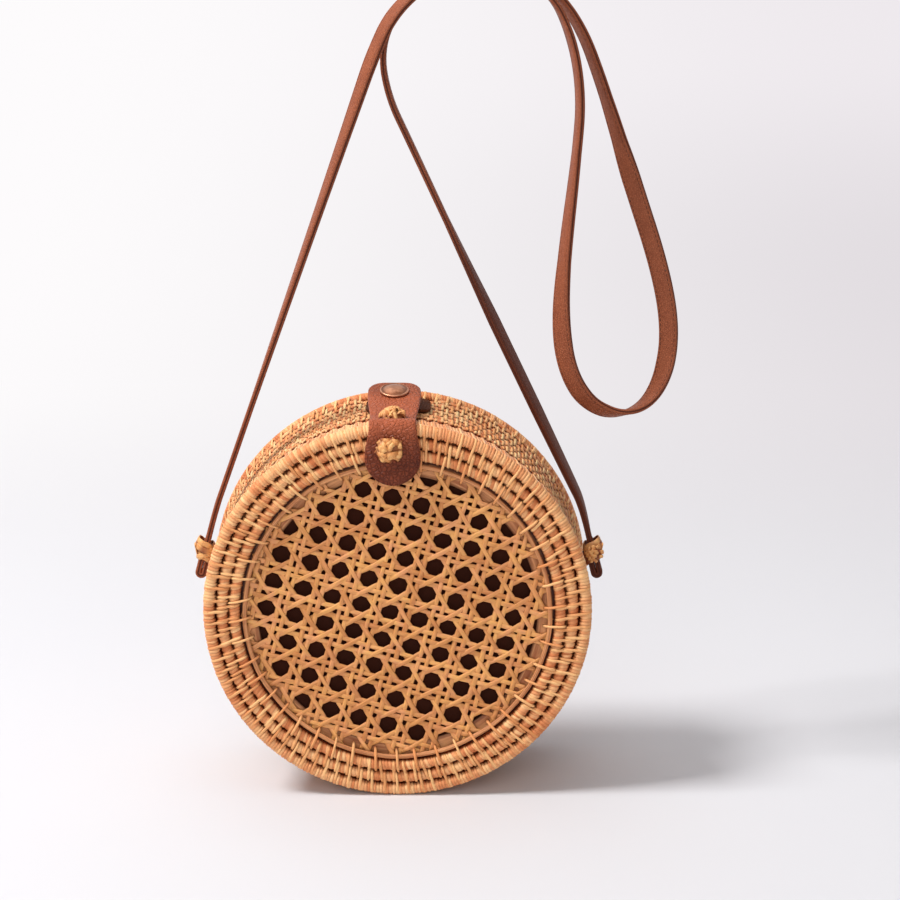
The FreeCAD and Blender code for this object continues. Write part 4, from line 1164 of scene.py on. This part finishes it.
def turned(piece, profile, centre, level, third, out, count, tint, hollow):
    """A profile of radius and height turned about the out axis: the round runs from level towards third."""
    angle = circle(count)[:, None]
    ring = np.cos(angle) * level + np.sin(angle) * third
    points = profile[:, 0, None, None] * ring + profile[:, 1, None, None] * out + np.array(centre)
    piece.add(points, tint=tint, hollow=hollow)


def snap():
    """The snap's cap: a domed plate, turned, with a rolled rim and a groove. Stud and socket stay solids."""
    slope = np.arctan2(TAB_TAIL - TAB_FLAT, TAB_END_Y - TAB_FLEX_Y)
    up = np.array([0, -np.sin(slope), np.cos(slope)])
    right = np.array([1.0, 0.0, 0.0])
    cap = Piece()
    seat = (TAB_X, SNAP_Y, CENTRE_Z + CAP_SEAT)
    dark = np.array(CAP_DARK)[:, None]
    turned(cap, np.array(CAP_PROFILE), seat, right, np.cross(up, right), up, CAP_POINTS, 0.5, dark)
    cap.make("snap_cap_brass", "brass", "closure_tab", "snap_cap")
    for node in ("snap_stud", "snap_socket"):
        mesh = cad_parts[node].data
        mesh.materials.clear()
        mesh.materials.append(FINISHES["snap"][0])


def raffia(piece, path, up, size, seed, ring=False, shade=0.0):
    """A raffia strand: a soft flat section carried along a path, with its side square to path and up.

    shade adds painted shade to the strand from point to point, over the painted shade on its underside."""
    rng = np.random.default_rng(seed)
    if ring:
        tangent = unit(np.roll(path, -1, axis=0) - np.roll(path, 1, axis=0))
    else:
        tangent = unit(np.gradient(path, axis=0))
    side = unit(np.cross(tangent, up))
    angle = circle(STRAND_SIDES)
    section = points_of(size[0] / 2 * np.cos(angle), size[1] / 2 * np.sin(angle))
    rows = len(path)
    spread = grid_spread(np.linspace(0, rows * 0.25, rows + ring), np.linspace(0, 1, STRAND_SIDES + 1))
    spread = spread + rng.uniform(0, 60)
    # Painted shade on the strand's underside, plus the painted shade given along it
    hollow = np.clip(0.25 - np.sin(angle), 0, 1) * 0.55 + np.broadcast_to(shade, rows)[:, None]
    piece.add(carry(path, side, np.cross(side, tangent), section), spread, rng.random(), hollow, ring)


def knot(piece, centre, out, level, radius, height, seed, stretch=1.0, dip_shade=0.0):
    """A raffia knot: short flat strands that cross each other over a dome, each with its own way and place.

    A strand follows a chord of the dome. Its height falls with the square of the distance from the middle,
    and a ripple along the chord takes it over and under its neighbours. Its cut ends make an uneven outline.
    A disc in painted shade fills the dome below them. The last argument deepens the painted shade where the
    strands dip."""
    rng = np.random.default_rng(seed)
    out = unit(np.array(out, float))
    level = unit(np.array(level, float))
    third = np.cross(out, level)
    middle, fall, wave = KNOT_DOME
    size = radius * np.array(KNOT_STRAND)
    share = np.linspace(-1, 1, KNOT_POINTS)
    for step in range(KNOT_STRANDS):
        spin = step * KNOT_TURN + rng.uniform(-0.3, 0.3)
        aside = radius * rng.uniform(-0.66, 0.66)
        reach = np.sqrt(radius ** 2 - aside ** 2) * rng.uniform(0.75, 1.02)
        bow = aside + radius * rng.uniform(-0.2, 0.2) * (1 - share ** 2)
        a = np.cos(spin) * reach * share - np.sin(spin) * bow
        b = np.sin(spin) * reach * share + np.cos(spin) * bow
        far = (a * a + b * b) / radius ** 2
        ripple = np.sin(share * 7.5 + rng.uniform(0, 6))
        lift = height * (middle - fall * far + wave * ripple)
        path = np.array(centre) + (stretch * a)[:, None] * level + b[:, None] * third + lift[:, None] * out
        # Painted shade where a strand dips under its neighbours, and on the outer part of every other strand
        shade = np.clip(0.22 + dip_shade - (0.34 + dip_shade) * ripple + 0.3 * far * (step % 2), 0, 1)
        raffia(piece, path, out, size, seed + step, False, shade)
    # The disc under the strands: raffia in painted shade
    turned(piece, KNOT_DISC * (radius, height), centre, stretch * level, third, out, DISC_POINTS, 0.2, 0.6)


def knots():
    """The raffia knots on the tab and the patch, and the bindings of the strap's ends."""
    for name, body, node, *sizes in KNOTS:
        piece = Piece()
        knot(piece, *sizes)
        piece.make(name, "raffia", body, node)
    for name, way in (("left", -1), ("right", 1)):
        tied = Piece()
        binding(tied, way)
        if way > 0:
            knot(tied, *BIND_KNOT)
        tied.make("strap_knot_" + name + "_raffia", "raffia", "rear_half", "strap_knot_" + name)


def binding(piece, way):
    """A raffia binding round a strap end: broad flat rings, each slanted its own way, and two cut tails.

    A ring is a rounded box of X and Y, and its height swings with the cosine of its turn."""
    turn = circle(BIND_POINTS)
    middle = np.array([way * BIND_X, STRAP_END_Y, BIND_Z])
    for step, (slant, level, grow) in enumerate(BIND_RINGS):
        x = (BIND_HALF[0] + grow) * blunt(np.cos(turn), BIND_BLUNT[0])
        y = (BIND_HALF[1] + grow) * blunt(np.sin(turn), BIND_BLUNT[1])
        path = middle + points_of(way * x, y, level + slant * np.cos(turn + 0.35))
        outward = unit((path - middle) * np.array([1.0, 1.0, 0.25]))
        # Painted shade: deeper on the right binding, which lies in the bag's shadow, and in bands round each
        # ring
        shade = 0.16 + 0.16 * (way > 0) + (0.22 + 0.3 * (step % 2)) * np.sin(3 * turn + 2 * step) ** 2
        raffia(piece, path, outward, BIND_SIZE, 320 + step * 7 + way, True, shade)
    share = np.linspace(0, 1, TAIL_POINTS)[:, None]
    for step, (side, up) in enumerate(BIND_TAILS):
        root = np.array([way * BIND_TAIL_ROOT[0], side * BIND_TAIL_ROOT[1], 0.0])
        tip = np.array([way * BIND_TAIL_TIP[0], side * BIND_TAIL_TIP[1], up])
        tail = middle + root + (tip - root) * share
        raffia(piece, tail, np.array([way * 1.0, 0, 0]), BIND_TAIL_SIZE, 350 + step * 7 + way)


def strap_line():
    """Points along the strap's middle line, read from the NURBS spline that has the route as its controls."""
    curve = bpy.data.curves.new("strap_line", "CURVE")
    curve.dimensions = "3D"
    spline = curve.splines.new("NURBS")
    spline.points.add(len(STRAP_ROUTE) - 1)
    spline.points.foreach_set("co", np.column_stack([STRAP_ROUTE, np.ones(len(STRAP_ROUTE))]).ravel())
    spline.order_u = 3
    spline.use_endpoint_u = True
    spline.resolution_u = 24
    holder = bpy.data.objects.new("strap_line", curve)
    line = bpy.data.meshes.new_from_object(holder)
    points = np.zeros(len(line.vertices) * 3)
    line.vertices.foreach_get("co", points)
    bpy.data.objects.remove(holder)
    bpy.data.curves.remove(curve)
    bpy.data.meshes.remove(line)
    points = points.reshape(-1, 3)
    moved = np.append(True, np.linalg.norm(np.diff(points, axis=0), axis=1) > 1e-6)
    return points[moved]


def strap_axes(path, share):
    """Along, across and outward directions at each point of the strap, from its turn there.

    The back and sideways axes come from the line and the depth axis; the face's normal is minus the cosine of
    the turn along the back, plus its sine sideways."""
    along = unit(np.gradient(path, axis=0))
    depth = np.array([0.0, 1.0, 0.0])
    back = unit(depth - along * (along @ depth)[:, None])
    sideways = np.cross(along, back)
    turn = np.radians(np.interp(share, *STRAP_TURNS.T))[:, None]
    face = -np.cos(turn) * back + np.sin(turn) * sideways
    across = -np.sin(turn) * back - np.cos(turn) * sideways
    return along, across, face


def strap_ribbon(piece, path, across, face, run, tint):
    """The strap's outline carried along a path: a face and an edge, and the same turned by half a turn."""
    half = np.array(STRAP_FACE + STRAP_SIDE)
    section = np.concatenate([half, -half]) * (STRAP_WIDTH / 2, STRAP_THICK / 2)
    spread = grid_spread(run, np.linspace(0, 1, len(section) + 1))
    piece.add(carry(path, across, face, section), spread, tint, STRAP_DARK)


def strap():
    """The leather strap: its outline carried along the line, and rows of sewn stitches near both edges."""
    path = strap_line()
    run = run_along(path)
    axes = strap_axes(path, run / run[-1])
    ribbon = Piece()
    # Painted shade on the right strand, which turns away from the lamps
    dark = soft_step((run / run[-1] - STRAP_SHADE_SHARES[0]) / STRAP_SHADE_SHARES[1])
    strap_ribbon(ribbon, path, axes[1], axes[2], run / STRAP_STEP, dark[:, None])
    piece = ribbon.make("strap_ribbon", "strap", "rear_half", "shoulder_strap")
    seams = Piece()
    at = np.arange(SEAM_START, run[-1] - SEAM_START, SEAM_STEP)
    seam_rows(seams, read_line(path, at, run), *[unit(read_line(axis, at, run)) for axis in axes])
    thread = seams.make("strap_seams", "thread", "rear_half")
    ends = [strap_end(name, way) for name, way in (("left", -1), ("right", 1))]


def seam_rows(piece, middle, along, across, face):
    """Short stitches in rows: a low crowned dash at each point, near both edges and on both faces."""
    dash, height = SEAM_DASH.T[..., None]
    wide = (SEAM_SECTION[:, 0] * (0.6 + 0.4 * height))[..., None]
    high = (SEAM_SECTION[:, 1] * (0.3 + 0.7 * height))[..., None]
    for edge in (-1, 1):
        for top in (-1, 1):
            place = middle + across * edge * (STRAP_WIDTH / 2 - SEAM_INSET)
            place = place + face * top * STRAP_THICK / 2 * SEAM_LEVEL
            piece.add(place[:, None, None] + along[:, None, None] * dash[..., None]
                      + across[:, None, None] * wide + face[:, None, None] * top * high)


def strap_end(name, way):
    """A folded strap end: the strap's outline down one straight leg, round half a circle and up a second leg.

    The first leg starts where the strap ends and eases out to its own place. The whole end leans outwards."""
    outer, inner = STRAP_LEGS
    fold = (outer - inner) / 2
    down = np.linspace(STRAP_END_TOP + STRAP_END_LAP, STRAP_END_LOW, FOLD_POINTS[0])
    half_turn = np.linspace(0, np.pi, FOLD_POINTS[1])[1:-1]
    up = np.linspace(STRAP_END_LOW, STRAP_END_BACK, FOLD_POINTS[2])
    ease = soft_step((STRAP_END_TOP - down) / STRAP_END_EASE)
    x = np.concatenate([STRAP_END_X + (outer - STRAP_END_X) * ease,
                        (outer + inner) / 2 + fold * np.cos(half_turn), inner + 0 * up])
    z = np.concatenate([down, STRAP_END_LOW - fold * np.sin(half_turn), up])
    x = x + STRAP_END_LEAN * np.clip((STRAP_END_TOP - z) / (STRAP_END_TOP - STRAP_END_LOW), 0, 1) ** 1.2
    path = points_of(way * x, STRAP_END_Y, CENTRE_Z + z)
    across = np.array([0.0, 1.0, 0.0])
    face = np.cross(unit(np.gradient(path, axis=0)), across)
    piece = Piece()
    # The right end gets the strap's painted shade
    strap_ribbon(piece, path, across, face, np.linspace(0, 4.5, len(x)), float(way > 0))
    node = "strap_end_" + name
    return piece.make(node + "_fold", "strap", "rear_half", node)


def hinge():
    """The lid's hinge: raffia loops of both halves by turns, round a two-ply cord with a knot at each end.

    A loop's strand runs along the wall, round the cord in a circle and back under itself. Away from the cord
    it follows the wall's round. The cord's plies are two helices half a turn apart."""
    angle = np.radians(np.linspace(*HINGE_ANGLES, LOOP_POINTS[1]))
    there = np.linspace(HINGE_TAIL, HINGE_TURN_Y, LOOP_POINTS[0])
    back = np.linspace(HINGE_TURN_Y, HINGE_TAIL_BACK, LOOP_POINTS[0])
    y = np.concatenate([there, HINGE_RING * np.cos(angle), back])
    z = np.concatenate([HINGE_LEVELS[0] + 0 * there, HINGE_RING * np.sin(angle), HINGE_LEVELS[1] + 0 * back])
    low = CENTRE_Z - HINGE_DROP
    loops = {1: Piece(), -1: Piece()}
    for step, x in enumerate(HINGE_STARTS):
        way = 1 if step % 2 == 0 else -1
        inward = np.concatenate([points_of(0 * there, 0, 1),
                                 points_of(0, way * np.cos(angle), np.sin(angle)),
                                 points_of(0 * back, 0, -1)])
        for lane in range(HINGE_LANES):
            place = x + HINGE_WIDTH * (lane + 0.5) / HINGE_LANES
            sag = HINGE_DROP - np.sqrt(HINGE_DROP ** 2 - place ** 2)
            sag = sag * np.clip((y - HINGE_TURN_Y) / HINGE_EASE, 0, 1)
            path = points_of(place, HINGE_Y + way * y, low + sag + z)
            raffia(loops[way], path, inward, HINGE_STRAND, 400 + step * 10 + lane)
    loops[1].make("rear_hinge_raffia", "raffia", "rear_half", "rear_hinge_loops")
    loops[-1].make("front_hinge_raffia", "raffia", "front_half", "front_hinge_loops")
    cord = Piece()
    along = np.linspace(-CORD_HALF, CORD_HALF, CORD_POINTS)
    for phase in (0.0, np.pi):
        spin = along / CORD_LAY * FULL_TURN + phase
        path = points_of(along, HINGE_Y + CORD_RING * np.cos(spin), low + CORD_RING * np.sin(spin))
        raffia(cord, path, np.array([0, 0, 1.0]), (CORD_PLY, CORD_PLY), 450)
    for way in (-1, 1):
        knot(cord, (way * CORD_HALF, HINGE_Y, low), (way, 0, 0), (0, 1, 0), *CORD_KNOT, 460 + way)
    cord.make("hinge_cord_twine", "raffia", "rear_half", "hinge_cord")


def sweep():
    """A pale paper that lies as the floor and curves up into a backdrop, with a quarter circle as the bend.

    Where the camera sees its rear part, it glows as painted light: paler to the left, and on the right darker
    towards the floor."""
    floor = np.linspace(SWEEP_FRONT, SWEEP_BEND_Y, SWEEP_POINTS[0])
    bend = np.radians(np.linspace(0, 90, SWEEP_POINTS[1]))[1:]
    wall = np.linspace(SWEEP_BEND + 0.05, SWEEP_TOP, SWEEP_POINTS[2])
    y = np.concatenate([floor, SWEEP_BEND_Y + SWEEP_BEND * np.sin(bend),
                        SWEEP_BEND_Y + SWEEP_BEND + 0 * wall])
    z = np.concatenate([0 * floor, SWEEP_BEND - SWEEP_BEND * np.cos(bend), wall]) + FLOOR_Z
    grid = points_of(np.linspace(-SWEEP_HALF, SWEEP_HALF, SWEEP_COLUMNS), y[:, None], z[:, None])
    rows, columns = grid.shape[:2]
    first = (np.arange(rows - 1)[:, None] * columns + np.arange(columns - 1)).ravel()
    faces = np.stack([first, first + 1, first + columns + 1, first + columns], -1)
    mesh = bpy.data.meshes.new("sweep")
    mesh.from_pydata(grid.reshape(-1, 3), [], faces)
    mesh.polygons.foreach_set("use_smooth", np.ones(len(faces), bool))
    f = Finish("sweep_paper", {"Roughness": 0.9, "Specular IOR Level": 0.1})
    paper = f.mix(f.noise(f.place(), 1.5, 2.0), tone(213, 212, 215), tone(220, 219, 222))
    f.feed(f.shader.inputs["Base Color"], paper)
    # Painted light: the backdrop paler to the left, where the key light stands, and darker low on the right
    height = f.along("Z").between(FLOOR_Z, FLOOR_Z + GLOW_RISE)
    right = f.mix(height, tone(225, 220, 224), tone(238, 233, 237))
    glow = f.mix(f.along("X").between(*GLOW_X), tone(253, 251, 252), right)
    sockets = {0: f.seen() * f.along("Y").between(*GLOW_Y), 1: Value(f, f.shader.outputs["BSDF"]),
               2: f.node("Emission", {}, {"Color": glow})}
    f.feed(f.tree.nodes["Material Output"].inputs["Surface"], f.node("MixShader", {}, sockets))
    mesh.materials.append(f.material)
    link("sweep", mesh)


def studio():
    """The sweep, a window-like key light from the left, a front fill, an overhead light, and the camera."""
    sweep()
    for name, place, size, power in LAMPS:
        lamp(name, place, size, power)
    sky = Sky("studio")
    soft = sky.node("Background", {}, {"Color": (1.0, 0.98, 0.985, 1.0), "Strength": SKY_LIGHT})
    pale = sky.node("Background", {}, {"Color": tone(243, 240, 243), "Strength": 1.0})
    both = sky.node("MixShader", {}, {0: sky.seen(), 1: soft, 2: pale})
    sky.feed(sky.tree.nodes["World Output"].inputs["Surface"], both)
    scene = bpy.context.scene
    scene.world = sky.material
    scene.view_settings.view_transform = "Standard"
    camera = bpy.data.cameras.new("camera")
    camera.lens = CAMERA_LENS
    camera.sensor_width = CAMERA_SENSOR
    scene.camera = link("camera", camera)
    scene.camera.location = CAMERA_PLACE
    scene.camera.rotation_euler = (CAMERA_TILT, 0.0, 0.0)


def lamp(name, place, size, power):
    """A square soft light that looks at the bag's middle."""
    light = bpy.data.lights.new(name, "AREA")
    light.size = size
    light.energy = power
    holder = link(name, light)
    holder.location = place
    aim = Vector((0.0, 0.0, CENTRE_Z)) - Vector(place)
    holder.rotation_euler = aim.to_track_quat("-Z", "Y").to_euler()


studio()
strap()
for half, way in SIDES.items():
    shell(half, way)
tab()
patch()
snap()
knots()
hinge()
